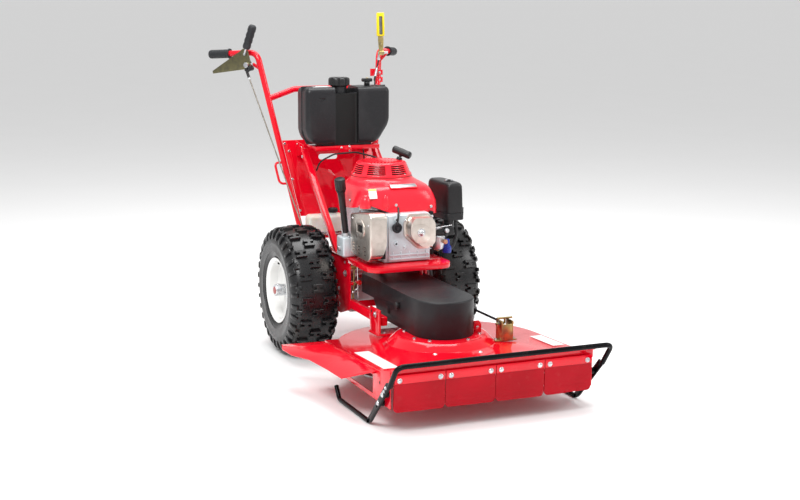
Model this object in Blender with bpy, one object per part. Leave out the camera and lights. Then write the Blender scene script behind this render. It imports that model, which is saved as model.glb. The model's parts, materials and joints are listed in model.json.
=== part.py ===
"""Walk-behind brush mower: hydrostatic tractor unit, belt-driven cutting deck and operator controls.

Metres, +Z up, the machine faces -Y. The geometry is written about the axle centre on the
ground, and every object is moved by SHIFT at the end so that the frame origin is the bottom
centre of the bounding box.
"""

import math

import bmesh
import bpy
from mathutils import Matrix, Vector

# ---- driving dimensions ----
SHIFT = Vector((0.0364, 0.2088, 0.0))

TYRE_R, TYRE_HALF, TYRE_X = 0.2250, 0.0855, 0.268
RIM_R, RIM_FACE_X, HUB_END_X = 0.1145, 0.3455, 0.3535
AXLE_Z, AXLE_R = 0.2250, 0.0125

PLATE_X, PLATE_T = 0.145, 0.005
PLATE_TOP, PLATE_LOW = 0.355, 0.150
RAIL_X, RAIL_W, RAIL_Z0, RAIL_Z1 = 0.1195, 0.024, 0.183, 0.213
ENGINE_PLATE_Z, ENGINE_PLATE_T, ENGINE_PLATE_HALF = 0.3553, 0.006, 0.152

HANDLE_R = 0.0113
HANDLE_FOOT, HANDLE_TOP = Vector((0.1421, 0.3091, 0.3595)), Vector((0.2415, 0.494, 0.990))
GRIP_DIR = Vector((0.62, 0.78, -0.06)).normalized()
GRIP_START, GRIP_LEN, GRIP_R = 0.124, 0.094, 0.0163
CROSSBAR_Z, CROSSBAR_RISE = 0.855, 0.034

CRANK_Y, SPINDLE_Y = -0.122, -0.632
BELT_Z, BELT_H, BELT_T = 0.2455, 0.010, 0.008
CRANK_PULLEY_R, SPINDLE_PULLEY_R = 0.0440, 0.0690

DECK_HALF, DECK_FRONT, DECK_TOP, DECK_RIM, SHEET = 0.335, -0.920, 0.170, 0.075, 0.003
LIP_Y, LIP_Z = -1.003, 0.190
PLATFORM_R, PLATFORM_TOP, DECK_PITCH, CORNER_Y = 0.140, 0.1865, 0.0377, -0.460
KNOB_Y, KNOB_Z = -0.516, 0.2580
BLADE_R, BLADE_W, BLADE_Z = 0.322, 0.065, 0.099
FLAP_PITCH, FLAP_GAP, FLAP_Y, FLAP_AXIS_Z, FLAP_LOW = 0.164, 0.002, -1.0135, 0.1735, 0.064
GUARD_Y, GUARD_Z, GUARD_X, GUARD_R = -1.0907, 0.2240, 0.3505, 0.0080

RED = (0.62, 0.010, 0.012)
ENGINE_RED = (0.70, 0.020, 0.030)
BLACK = (0.012, 0.012, 0.013)
ZINC = (0.60, 0.60, 0.60)
GOLD = (0.55, 0.40, 0.12)
ALLOY = (0.55, 0.56, 0.58)


# ---- helpers ----
def material(name, colour, roughness, metallic=0.0):
    made = bpy.data.materials.get(name)
    if made:
        return made
    made = bpy.data.materials.new(name)
    made.use_nodes = True
    shader = made.node_tree.nodes["Principled BSDF"]
    shader.inputs["Base Color"].default_value = (*colour, 1)
    shader.inputs["Roughness"].default_value = roughness
    shader.inputs["Metallic"].default_value = metallic
    return made


def finish(bm):
    bmesh.ops.remove_doubles(bm, verts=bm.verts, dist=1e-6)
    bmesh.ops.recalc_face_normals(bm, faces=bm.faces)
    mesh = bpy.data.meshes.new("shape")
    bm.to_mesh(mesh)
    bm.free()
    return mesh


def prism(outline, axis, low, high, matrix=None):
    """A flat outline extruded along an axis; the outline's two numbers are the other axes in order."""
    bm = bmesh.new()
    order = {"X": (2, 0, 1), "Y": (0, 2, 1), "Z": (0, 1, 2)}[axis]
    verts = []
    for point in outline:
        spot = (*point, low)
        verts.append(bm.verts.new([spot[i] for i in order]))
    face = bm.faces.new(verts)
    sides = bmesh.ops.extrude_face_region(bm, geom=[face])["geom"]
    moved = [v for v in sides if isinstance(v, bmesh.types.BMVert)]
    step = Vector([(0, 0, high - low)[i] for i in order])
    bmesh.ops.translate(bm, verts=moved, vec=step)
    if matrix:
        bmesh.ops.transform(bm, matrix=matrix, verts=bm.verts)
    return finish(bm)


def box(x0, x1, y0, y1, z0, z1, bevel=0.0, segments=2, matrix=None):
    bm = bmesh.new()
    bmesh.ops.create_cube(bm, size=1)
    size = Matrix.Diagonal((x1 - x0, y1 - y0, z1 - z0, 1))
    middle = Matrix.Translation(((x0 + x1) / 2, (y0 + y1) / 2, (z0 + z1) / 2))
    bmesh.ops.transform(bm, matrix=middle @ size, verts=bm.verts)
    if bevel:
        bmesh.ops.bevel(bm, geom=bm.edges, offset=bevel, segments=segments, profile=0.5,
                        affect="EDGES", material=-1)
    if matrix:
        bmesh.ops.transform(bm, matrix=matrix, verts=bm.verts)
    return finish(bm)


def placed(mesh, matrix):
    """The mesh moved by a matrix, with its faces still pointing out when the matrix mirrors."""
    bm = bmesh.new()
    bm.from_mesh(mesh)
    bmesh.ops.transform(bm, matrix=matrix, verts=bm.verts)
    return finish(bm)


def to_axis(axis):
    return Vector((0, 0, 1)).rotation_difference(Vector(axis)).to_matrix().to_4x4()


def cylinder(centre, axis, radius, length, sides=24, top_radius=None):
    bm = bmesh.new()
    top = radius if top_radius is None else top_radius
    bmesh.ops.create_cone(bm, cap_ends=True, segments=sides, radius1=radius, radius2=top, depth=length)
    bmesh.ops.transform(bm, matrix=Matrix.Translation(centre) @ to_axis(axis), verts=bm.verts)
    return finish(bm)


def lathe(profile, centre, axis, sides=32):
    """A closed profile of (distance along the axis, radius) turned a whole turn."""
    bm = bmesh.new()
    ring = [bm.verts.new((radius, 0, along)) for along, radius in profile]
    edges = [bm.edges.new((a, b)) for a, b in zip(ring, ring[1:])]
    if profile[0][1] > 0 or profile[-1][1] > 0:
        edges.append(bm.edges.new((ring[-1], ring[0])))
    bmesh.ops.spin(bm, geom=ring + edges, cent=(0, 0, 0), axis=(0, 0, 1), angle=2 * math.pi,
                   steps=sides, use_merge=True)
    bmesh.ops.transform(bm, matrix=Matrix.Translation(centre) @ to_axis(axis), verts=bm.verts)
    return finish(bm)


def rounded(points, radius, steps=4):
    """The path with every inner corner replaced by an arc of this radius."""
    points = [Vector(p) for p in points]
    path = [points[0]]
    for before, corner, after in zip(points, points[1:], points[2:]):
        back, on = (before - corner).normalized(), (after - corner).normalized()
        half = back.angle(on) / 2
        reach = min(radius / math.tan(half), (before - corner).length * 0.48, (after - corner).length * 0.48)
        middle = corner + (back + on).normalized() * (reach / math.cos(half))
        start, end = corner + back * reach - middle, corner + on * reach - middle
        for i in range(steps + 1):
            path.append(middle + start.normalized().slerp(end.normalized(), i / steps) * start.length)
    return path + [points[-1]]


def tube(points, radius, resolution=2):
    """A round bar along a path of points, with flat filled ends."""
    curve = bpy.data.curves.new("path", "CURVE")
    curve.dimensions = "3D"
    curve.bevel_depth, curve.bevel_resolution, curve.use_fill_caps = radius, resolution, True
    spline = curve.splines.new("POLY")
    spline.points.add(len(points) - 1)
    for spot, point in zip(spline.points, points):
        spot.co = (*point, 1)
    holder = bpy.data.objects.new("path", curve)
    bpy.context.scene.collection.objects.link(holder)
    mesh = applied(holder)
    bm = bmesh.new()
    bm.from_mesh(mesh)
    return finish(bm)


def applied(holder):
    """The evaluated mesh of a helper object, which is then removed."""
    bpy.context.view_layer.update()
    graph = bpy.context.evaluated_depsgraph_get()
    mesh = bpy.data.meshes.new_from_object(holder.evaluated_get(graph))
    bpy.data.objects.remove(holder)
    return mesh


def combine(base, adds=(), cuts=()):
    """One mesh: the base with solids joined to it and others cut from it."""
    holder = bpy.data.objects.new("base", base)
    bpy.context.scene.collection.objects.link(holder)
    helpers = []
    for operation, meshes in (("UNION", adds), ("DIFFERENCE", cuts)):
        for mesh in meshes:
            helper = bpy.data.objects.new("helper", mesh)
            bpy.context.scene.collection.objects.link(helper)
            modifier = holder.modifiers.new(operation.title(), "BOOLEAN")
            modifier.operation, modifier.solver, modifier.object = operation, "EXACT", helper
            helpers.append(helper)
    mesh = applied(holder)
    for helper in helpers:
        bpy.data.objects.remove(helper)
    bm = bmesh.new()
    bm.from_mesh(mesh)
    bmesh.ops.dissolve_limit(bm, angle_limit=0.002, verts=bm.verts, edges=bm.edges)
    return finish(bm)


def node(name, mesh, look, origin=(0, 0, 0), smooth=False):
    """A named sub-part whose object origin lies on its joint axis."""
    mesh.transform(Matrix.Translation(-Vector(origin)))
    mesh.name = name
    mesh.materials.clear()
    mesh.materials.append(look)
    if smooth:
        mesh.shade_smooth()
    made = bpy.data.objects.new(name, mesh)
    made.location = Vector(origin) + SHIFT
    bpy.context.scene.collection.objects.link(made)
    return made


def mirrored(point, side):
    return Vector((point[0] * side, point[1], point[2]))


def arc(cx, cy, radius, start, end, steps):
    angles = [math.radians(start + (end - start) * i / steps) for i in range(steps + 1)]
    return [(cx + radius * math.cos(a), cy + radius * math.sin(a)) for a in angles]


# ---- running gear ----
def make_wheel(side, name):
    half, axis = TYRE_HALF, (side, 0, 0)
    tread = [(-0.0675, 0.1052), (0.0675, 0.1052), (0.0705, 0.1165), (0.078, 0.122), (half, 0.150),
             (half - 0.001, 0.185), (0.076, 0.209), (0.052, 0.2235), (0, TYRE_R), (-0.052, 0.2235),
             (-0.076, 0.209), (-half + 0.001, 0.185), (-half, 0.150), (-0.078, 0.122), (-0.0705, 0.1165)]
    centre = (side * TYRE_X, 0, AXLE_Z)
    node("tyre_" + name, lathe(tread, centre, axis, 32), RUBBER, centre)
    dish = [(RIM_FACE_X, 0.109), (RIM_FACE_X, RIM_R), (0.3415, RIM_R), (0.338, 0.104), (0.198, 0.104),
            (0.1945, RIM_R), (0.1905, RIM_R), (0.1905, 0.109), (0.1965, 0.1005), (0.300, 0.1005),
            (0.296, 0.080), (0.292, 0.0215), (0.298, 0.0215), (0.302, 0.078), (0.307, 0.1005), (0.3395, 0.1005)]
    node("rim_" + name, lathe(dish, (0, 0, AXLE_Z), axis, 28), WHITE, centre)
    hub = [(0.120, 0), (0.120, AXLE_R), (0.270, AXLE_R), (0.270, 0.030), (0.284, 0.030), (0.284, 0.050),
           (0.2912, 0.050), (0.2912, 0.020), (HUB_END_X, 0.020), (HUB_END_X, 0)]
    node("hub_" + name, lathe(hub, (0, 0, AXLE_Z), axis, 24), STEEL, (side * 0.205, 0, AXLE_Z))


def make_transaxle():
    axle = cylinder((0, 0, AXLE_Z), (1, 0, 0), 0.056, 0.234, 24)
    case = box(-0.075, 0.045, -0.070, 0.095, 0.172, 0.270, 0.010, 1)
    pump = box(-0.060, 0.020, 0.010, 0.085, 0.262, 0.300, 0.008, 1)
    shaft = cylinder((-0.020, 0.050, 0.310), (0, 0, 1), 0.009, 0.030, 12)
    arm = box(-0.108, -0.050, 0.055, 0.080, 0.280, 0.286)
    node("transaxle", combine(axle, [case, pump, shaft, arm]), CAST)


def make_frame():
    outline = [(-0.190, PLATE_TOP), (-0.190, 0.178), (-0.105, PLATE_LOW), (0.215, PLATE_LOW),
               (0.300, 0.205), (0.345, PLATE_TOP)]
    parts, cuts = [], []
    for side in (-1, 1):
        low, high = sorted((side * (PLATE_X - PLATE_T), side * PLATE_X))
        parts.append(prism(outline, "X", low, high))
        rail = sorted((side * RAIL_X, side * (RAIL_X + RAIL_W)))
        parts.append(box(rail[0], rail[1], -0.470, -0.130, RAIL_Z0, RAIL_Z1, 0.003, 1))
        cuts.append(cylinder((side * PLATE_X, 0, AXLE_Z), (1, 0, 0), 0.018, 0.02, 24))
        cuts.append(cylinder((side * PLATE_X, 0.180, 0.270), (1, 0, 0), 0.030, 0.02, 20))
    parts.append(box(-0.142, 0.142, -0.188, -0.183, 0.184, 0.206))
    parts.append(box(-0.142, 0.142, 0.170, 0.175, PLATE_LOW + 0.001, 0.230))
    parts.append(box(-0.162, 0.162, 0.268, 0.3445, 0.347, PLATE_TOP))
    node("main_frame", combine(parts[0], parts[1:], cuts), PAINT)


def make_engine_plate():
    half, back, front, corner = ENGINE_PLATE_HALF, 0.030, -0.405, 0.050
    outline = ([(-half, back)] + arc(-half + corner, front + corner, corner, 180, 270, 5)
               + arc(half - corner, front + corner, corner, 270, 360, 5) + [(half, back)])
    inner = ([(-half + 0.0035, -0.1950)] + arc(-half + corner, front + corner, corner - 0.0035, 180, 270, 5)
             + arc(half - corner, front + corner, corner - 0.0035, 270, 360, 5) + [(half - 0.0035, -0.1950)])
    low = ENGINE_PLATE_Z
    slab = prism(outline, "Z", low, low + ENGINE_PLATE_T)
    lip = prism(outline, "Z", low - 0.018, low + 0.001)
    lip = combine(lip, cuts=[prism(inner, "Z", low - 0.03, low), box(-0.2, 0.2, -0.1952, 0.1, low - 0.03, low)])
    shaft_hole = cylinder((0, CRANK_Y, low), (0, 0, 1), 0.022, 0.05, 24)
    stud = cylinder((0.075, -0.300, 0.3200), (0, 0, 1), 0.006, 0.080, 12)
    node("engine_plate", combine(slab, [lip, stud], [shaft_hole]), PAINT)


# ---- handlebar, panel and braces ----
def handle_at(z, side=1):
    """Centre of the handle tube at this height."""
    k = (z - HANDLE_FOOT.z) / (HANDLE_TOP.z - HANDLE_FOOT.z)
    return mirrored(HANDLE_FOOT.lerp(HANDLE_TOP, k), side)


def grip_direction(side):
    return mirrored(GRIP_DIR, side)


def grip_corner(side):
    """Where the straight leg and the grip line would meet."""
    return mirrored(HANDLE_TOP + (HANDLE_TOP - HANDLE_FOOT).normalized() * 0.038, side)


def make_handlebar():
    legs = []
    for side in (-1, 1):
        corner = grip_corner(side)
        path = [mirrored(HANDLE_FOOT, side), corner, corner + grip_direction(side) * (GRIP_START + 0.060)]
        legs.append(tube(rounded(path, 0.045, 5), HANDLE_R, 2))
    low, high = handle_at(CROSSBAR_Z, -1), handle_at(CROSSBAR_Z, 1)
    lift = Vector((0, 0.008, CROSSBAR_RISE))
    bar = rounded([low, low + Vector((0.105, 0, 0)) + lift, high - Vector((0.105, 0, 0)) + lift, high], 0.06, 3)
    upper, lower = handle_at(0.622, -1), handle_at(0.545, -1)
    out = Vector((-0.036, 0.004, 0))
    loop = rounded([upper, upper + out, lower + out, lower], 0.020, 4)
    tab = handle_at(0.945, 1)
    ear = box(tab.x - 0.036, tab.x, tab.y - 0.010, tab.y - 0.006, tab.z - 0.014, tab.z + 0.014)
    pivots = []
    for side, reach in ((-1, 0.030), (1, 0.022)):
        spot, axis = lever_pivot(side), lever_axis(side)
        pivots.append(cylinder(spot + axis * (reach / 2 + 0.001), axis, 0.0050, reach + 0.008, 12))
        pivots.append(tube([spot + axis * reach, handle_at(0.965 if side < 0 else 0.985, side)], 0.0070, 1))
    node("handlebar", combine(legs[0], [tube(bar, HANDLE_R, 2), legs[1], tube(loop, 0.0045, 1), ear] + pivots),
         PAINT)


def make_grips():
    for side, name in ((-1, "right"), (1, "left")):
        axis = grip_direction(side)
        start = grip_corner(side) + axis * (GRIP_START - 0.002)
        bore = HANDLE_R + 0.0003
        profile = [(0, bore), (0, GRIP_R + 0.003), (0.004, GRIP_R + 0.003), (0.005, GRIP_R),
                   (GRIP_LEN - 0.004, GRIP_R), (GRIP_LEN, GRIP_R - 0.004), (GRIP_LEN, 0), (0.0640, 0), (0.0640, bore)]
        node("grip_" + name, lathe(profile, start, axis, 20), GRIP)


def make_rear_panel():
    """The sheet between the handle tubes, in their plane, with a forward flange on each side of the tray."""
    lean = math.atan2(HANDLE_TOP.y - HANDLE_FOOT.y, HANDLE_TOP.z - HANDLE_FOOT.z)
    outline = []
    for z, side in ((0.425, -1), (0.425, 1), (0.702, 1), (0.702, -1)):
        spot = handle_at(z, side)
        outline.append((spot.x - side * (HANDLE_R + 0.0018), spot.z))
    sheet = prism(outline, "Y", -0.0015, 0.0015)
    shear = Matrix.Identity(4)
    shear[1][2] = math.tan(lean)
    shear[1][3] = HANDLE_FOOT.y - math.tan(lean) * HANDLE_FOOT.z
    sheet.transform(shear)
    flanges = []
    for side in (-1, 1):
        low, high = sorted((side * 0.128, side * 0.131))
        flanges.append(prism([(0.319, 0.692), (0.411, 0.700), (0.396, 0.640), (0.319, 0.660)], "X", low, high))
    node("rear_panel", combine(sheet, flanges), PAINT)


def make_tank_tray():
    base = box(-0.125, 0.125, 0.199, 0.316, 0.6955, 0.6985)
    lip = box(-0.125, 0.125, 0.199, 0.202, 0.684, 0.697)
    ends = [box(x, x + 0.003, 0.199, 0.316, 0.6860, 0.697) for x in (-0.125, 0.122)]
    node("tank_tray", combine(base, [lip] + ends), PAINT)


def make_braces():
    for side, name in ((-1, "right"), (1, "left")):
        low, high = sorted((side * 0.129, side * 0.151))
        outline = [(-0.075, 0.3618), (-0.045, 0.3618), (0.288, 0.6640), (0.292, 0.6850), (0.278, 0.6850)]
        node("brace_" + name, prism(outline, "X", low, high), PAINT)


# ---- levers and cables ----
def lever_axis(side):
    """Horizontal hinge axis: square to the grip for the drive lever, across the machine for the blade lever."""
    flat = Vector((side * GRIP_DIR.x, GRIP_DIR.y, 0)).normalized()
    return Vector((flat.y, -flat.x, 0)) if side < 0 else Vector((1, 0, 0))


def lever_pivot(side):
    return Vector((-0.276, 0.518, 0.980)) if side < 0 else Vector((0.2360, 0.4550, 1.0200))


def lever_frame(side):
    """Local axes of a lever: x along the grip, y up, z along the hinge."""
    across, up = lever_axis(side), Vector((0, 0, 1))
    along = up.cross(across)
    matrix = Matrix((along, up, across)).transposed().to_4x4()
    return Matrix.Translation(lever_pivot(side)) @ matrix


def make_drive_lever():
    here = lever_frame(-1)
    plate = prism([(-0.014, -0.010), (0.006, -0.016), (0.157, -0.038), (0.160, -0.028), (0.040, 0.046),
                   (0.020, 0.060), (0.000, 0.060), (-0.014, 0.012)], "Z", -0.010, -0.006, here)
    hub = placed(cylinder((0, 0, 0), (0, 0, 1), 0.0095, 0.020, 20), here)
    bore = placed(cylinder((0, 0, 0), (0, 0, 1), 0.0054, 0.06, 20), here)
    foot, top = here @ Vector((0.008, 0.045, -0.013)), here @ Vector((-0.0335, 0.157, -0.013))
    axis = (top - foot).normalized()
    stem = tube([foot, foot + axis * 0.075], 0.0050, 1)
    plate = combine(plate, [hub, stem], [bore])
    node("drive_lever", plate, OLIVE, lever_pivot(-1))
    start, length = foot + axis * 0.0170, 0.094
    profile = [(0, 0.0054), (0, 0.0115), (0.010, 0.0130), (0.030, 0.0122), (0.050, 0.0134), (0.070, 0.0122),
               (length - 0.010, 0.0132), (length, 0.0095), (length, 0), (0.062, 0), (0.062, 0.0054)]
    node("drive_lever_grip", lathe(profile, start, axis, 18), GRIP, lever_pivot(-1))


def make_control_rod():
    here = lever_frame(-1)
    top = here @ Vector((0.0, -0.018, -0.0165))
    foot = Vector((-0.1640, 0.150, 0.330))
    rod = tube([top, foot], 0.0030, 1)
    eye = cylinder(top, lever_axis(-1), 0.0060, 0.006, 14)
    node("control_rod", combine(rod, [eye]), STEEL, top)


def make_blade_lever():
    here = lever_frame(1)
    x, y, z = lever_pivot(1)
    lean = Matrix.Translation((x, y, z)) @ Matrix.Rotation(math.radians(-6), 4, "X")
    bar = prism([(-0.008, 0.004), (0.008, 0.004), (0.012, 0.050), (0.013, 0.148), (-0.008, 0.148), (-0.010, 0.050)],
                "Y", -0.0025, 0.0025, lean)
    hub = placed(cylinder((0, 0, 0), (0, 0, 1), 0.0090, 0.022, 16), here)
    bore = placed(cylinder((0, 0, 0), (0, 0, 1), 0.0054, 0.06, 16), here)
    horn = box(x - 0.013, x - 0.007, y - 0.004, y + 0.004, z - 0.024, z - 0.006)
    node("blade_lever", combine(bar, [hub, horn], [bore]), ALLOYS, lever_pivot(1))
    outer = prism([(-0.0150, 0.064), (0.0160, 0.064), (0.0175, 0.154), (-0.0125, 0.154)], "Y", -0.0065, 0.0065, lean)
    slot = prism([(-0.0104, 0.050), (0.0124, 0.040), (0.0134, 0.1484), (-0.0104, 0.1484)], "Y", -0.0029, 0.0029, lean)
    node("blade_lever_grip", combine(outer, cuts=[slot]), YELLOW, lever_pivot(1))


def make_cables():
    start = lever_pivot(1) + Vector((-0.010, 0, -0.0250))
    route = [start, (0.208, 0.446, 0.930), (0.196, 0.428, 0.850), (0.146, 0.378, 0.775), (0.112, 0.335, 0.690),
             (0.106, 0.285, 0.560),
             (0.106, 0.205, 0.440), (0.106, 0.110, 0.360), (0.106, 0.030, 0.328), (0.106, -0.160, 0.318),
             (0.104, -0.205, 0.2860)]
    node("blade_cable", tube(rounded(route, 0.06, 3), 0.0028, 2), CABLE)
    arch = [(-0.118, 0.212, 0.610), (-0.110, 0.196, 0.645), (-0.060, 0.180, 0.672), (0.020, 0.172, 0.676),
            (0.098, 0.152, 0.656), (0.116, 0.100, 0.610), (0.119, 0.080, 0.550), (0.116, 0.048, 0.490), (0.106, 0.032, 0.468)]
    node("throttle_cable", tube(rounded(arch, 0.05, 3), 0.0030, 2), CABLE)


# ---- fuel tank and reservoir ----
def make_tank():
    front, back, low, high = 0.185, 0.300, 0.7065, 0.9130
    outline = [(-0.138, low), (0.115, low), (0.163, 0.780), (0.163, 0.900), (0.150, high), (-0.150, high),
               (-0.163, 0.900), (-0.163, 0.745)]
    body = prism(outline, "Y", front, back)
    bm = bmesh.new()
    bm.from_mesh(body)
    edges = [e for e in bm.edges if abs(e.verts[0].co.y - e.verts[1].co.y) < 1e-6]
    bmesh.ops.bevel(bm, geom=edges, offset=0.014, segments=2, profile=0.5, affect="EDGES", material=-1)
    body = finish(bm)
    saddle = box(-0.053, 0.037, 0.1, 0.4, 0.889, 0.95)
    recess = box(-0.053, 0.037, 0.17, 0.197, 0.69, 0.95)
    neck = cylinder((-0.018, 0.2425, 0.9005), (0, 0, 1), 0.0285, 0.027, 24)
    foot = box(-0.095, 0.095, 0.205, 0.290, 0.6988, 0.712)
    outlet = cylinder((0.128, 0.240, 0.738), (0.7, 0, -0.7), 0.008, 0.030, 12)
    node("fuel_tank", combine(body, [neck, foot, outlet], [saddle, recess]), PLASTIC)
    cap = [(0.9143, 0), (0.9143, 0.030), (0.9143, 0.0400), (0.9400, 0.0400), (0.9455, 0.036), (0.9465, 0)]
    node("fuel_cap", lathe(cap, (-0.018, 0.2425, 0), (0, 0, 1), 28), PLASTIC, (-0.018, 0.2425, 0.930))
    vent = cylinder((0.092, 0.2425, 0.9225), (0, 0, 1), 0.010, 0.018, 14)
    cover = box(0.072, 0.112, 0.2325, 0.2525, 0.9290, 0.9410, 0.004, 1)
    node("vent_fitting", combine(vent, [cover]), PLASTIC)


def make_reservoir():
    body = box(-0.127, 0.014, 0.262, 0.322, 0.3560, 0.4340, 0.012, 2)
    neck = cylinder((-0.026, 0.288, 0.4330), (0, 0, 1), 0.0150, 0.011, 20)
    node("reservoir", combine(body, [neck]), MILKY)
    cap = [(0.4388, 0), (0.4388, 0.0190), (0.4540, 0.0190), (0.4570, 0.016), (0.4570, 0)]
    node("reservoir_cap", lathe(cap, (-0.026, 0.288, 0), (0, 0, 1), 20), PLASTIC, (-0.026, 0.288, 0.448))


# ---- engine ----
def make_engine():
    low = ENGINE_PLATE_Z + ENGINE_PLATE_T + 0.0004
    case = box(-0.100, 0.100, -0.250, 0.015, low, 0.5355, 0.010, 1)
    barrel = box(-0.080, 0.088, -0.342, -0.245, low + 0.001, 0.5270, 0.006, 1)
    sump = cylinder((0, CRANK_Y, low + 0.012), (0, 0, 1), 0.118, 0.024, 32)
    pad = box(-0.168, -0.095, -0.190, -0.125, low + 0.001, 0.4320, 0.005, 1)
    fins = [box(-0.084, 0.098, -0.335, -0.255, z, z + 0.004) for z in (0.430, 0.446, 0.462, 0.478, 0.494, 0.510)]
    bore = cylinder((0, CRANK_Y, low), (0, 0, 1), 0.0150, 0.10, 20)
    node("engine_block", combine(case, [barrel, sump, pad] + fins, [bore]), CAST)
    cover = box(-0.009, 0.094, -0.3840, -0.3423, 0.4105, 0.5270, 0.012, 2)
    cap = cylinder((0.036, -0.3850, 0.466), (0, 1, 0), 0.0120, 0.010, 18)
    rim = box(-0.014, 0.099, -0.3480, -0.3423, 0.4055, 0.5310, 0.002, 1)
    node("rocker_cover", combine(cover, [cap, rim]), CHAMPAGNE)
    boot = tube(rounded([(-0.052, -0.3450, 0.500), (-0.052, -0.372, 0.494), (-0.040, -0.376, 0.535)], 0.012, 3), 0.011, 2)
    node("plug_boot", boot, GRIP)
    shell = prism([(-0.388, 0.3950), (-0.360, 0.3720), (-0.205, 0.3720), (-0.205, 0.5180), (-0.370, 0.5400),
                   (-0.388, 0.5280)], "X", -0.148, -0.0845)
    port = cylinder((-0.148, -0.300, 0.482), (1, 0, 0), 0.0100, 0.030, 16)
    back = box(-0.1005, 0, -0.2530, -0.10, 0.3, 0.6)
    node("muffler", combine(shell, cuts=[port, back]), CHAMPAGNE)
    filler = [(0, 0.0100), (0.140, 0.0125), (0.190, 0.0185), (0.206, 0.0190), (0.210, 0.016), (0.210, 0)]
    foot, top = Vector((-0.1475, -0.1650, 0.4350)), Vector((-0.186, -0.204, 0.636))
    node("oil_filler", lathe([(0, 0)] + filler, foot, (top - foot).normalized(), 18), PLASTIC)


def ring_of(cx, cy, half_x, half_y, z, power, count=32, back_y=None, back_power=None):
    """Points of a rounded rectangle, from a circle (power 1) to nearly square (power 0.3).

    The half behind the middle can have its own depth and roundness.
    """
    spots = []
    for i in range(count):
        a = 2 * math.pi * (i + 0.5) / count
        c, s = math.cos(a), math.sin(a)
        behind = s > 0 and back_y is not None
        depth, bend = (back_y, back_power) if behind else (half_y, power)
        spots.append((cx + half_x * math.copysign(abs(c) ** bend, c),
                      cy + depth * math.copysign(abs(s) ** bend, s), z))
    return spots


def loft(rings):
    """A closed solid through rings of the same number of points, lowest first."""
    bm = bmesh.new()
    loops = [[bm.verts.new(p) for p in ring] for ring in rings]
    for loop in loops:
        for a, b in zip(loop, loop[1:] + loop[:1]):
            bm.edges.new((a, b))
    for below, above in zip(loops, loops[1:]):
        around = [bm.edges.get((a, b)) for loop in (below, above) for a, b in zip(loop, loop[1:] + loop[:1])]
        bmesh.ops.bridge_loops(bm, edges=around)
    bmesh.ops.contextual_create(bm, geom=loops[0])
    bmesh.ops.contextual_create(bm, geom=loops[-1])
    return finish(bm)


def make_shroud():
    sizes = ((0.144, 0.181, 0.5360, 0.36, 0.118, 0.9), (0.142, 0.179, 0.560, 0.36, 0.117, 0.9),
             (0.132, 0.162, 0.602, 0.42, 0.114, 0.9), (0.124, 0.148, 0.612, 0.55, 0.112, 0.95),
             (0.110, 0.110, 0.632, 1.0, 0.110, 1.0))
    body = loft([ring_of(0.0, CRANK_Y, half_x, half_y, z, power, 32, back, back_power)
                 for half_x, half_y, z, power, back, back_power in sizes])
    node("engine_shroud", body, ENGINE_PAINT)
    profile = [(0.6324, 0), (0.6324, 0.1047), (0.640, 0.1040), (0.674, 0.0870), (0.6800, 0.0820), (0.6830, 0.050),
               (0.6840, 0)]
    node("recoil_cover", lathe(profile, (0, CRANK_Y, 0), (0, 0, 1), 36), ENGINE_PAINT)
    bar, pull = Vector((0.62, -0.72, -0.31)).normalized(), Vector((0.35, -0.10, 0.93)).normalized()
    middle = Vector((0.078, -0.120, 0.7060))
    grip = tube([middle - bar * 0.036, middle + bar * 0.036], 0.0105, 2)
    stem = tube([middle, middle - pull * 0.0175], 0.0060, 1)
    node("starter_handle", combine(grip, [stem]), GRIP, middle)


def make_intake():
    body = loft([ring_of(0.222, -0.170, 0.0365, 0.092, 0.4850, 0.35, 24),
                 ring_of(0.222, -0.170, 0.0365, 0.092, 0.500, 0.35, 24),
                 ring_of(0.222, -0.170, 0.0345, 0.090, 0.502, 0.35, 24),
                 ring_of(0.222, -0.170, 0.0310, 0.086, 0.590, 0.35, 24),
                 ring_of(0.222, -0.170, 0.0230, 0.078, 0.600, 0.35, 24)])
    knob = cylinder((0.222, -0.200, 0.6025), (0, 0, 1), 0.0080, 0.010, 12)
    node("air_cleaner", combine(body, [knob]), PLASTIC)
    throat = cylinder((0.1405, -0.270, 0.445), (1, 0, 0), 0.0200, 0.079, 20)
    bowl = cylinder((0.150, -0.270, 0.408), (0, 0, 1), 0.0240, 0.052, 20)
    elbow = cylinder((0.205, -0.235, 0.4570), (0, 0, 1), 0.0180, 0.0550, 16)
    tie = box(0.168, 0.205, -0.285, -0.230, 0.432, 0.460, 0.004, 1)
    node("carburettor", combine(throat, [bowl, elbow, tie]), ALLOYS)


# ---- belt drive ----
def pulley_profile(radius, hub, low, high):
    mid, half = BELT_Z, 0.0065
    return [(low, 0), (low, hub), (mid - half - 0.004, hub), (mid - half - 0.004, radius), (mid - half, radius),
            (mid - half, radius - 0.010), (mid + half, radius - 0.010), (mid + half, radius),
            (mid + half + 0.004, radius), (mid + half + 0.004, hub), (high, hub), (high, 0)]


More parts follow.
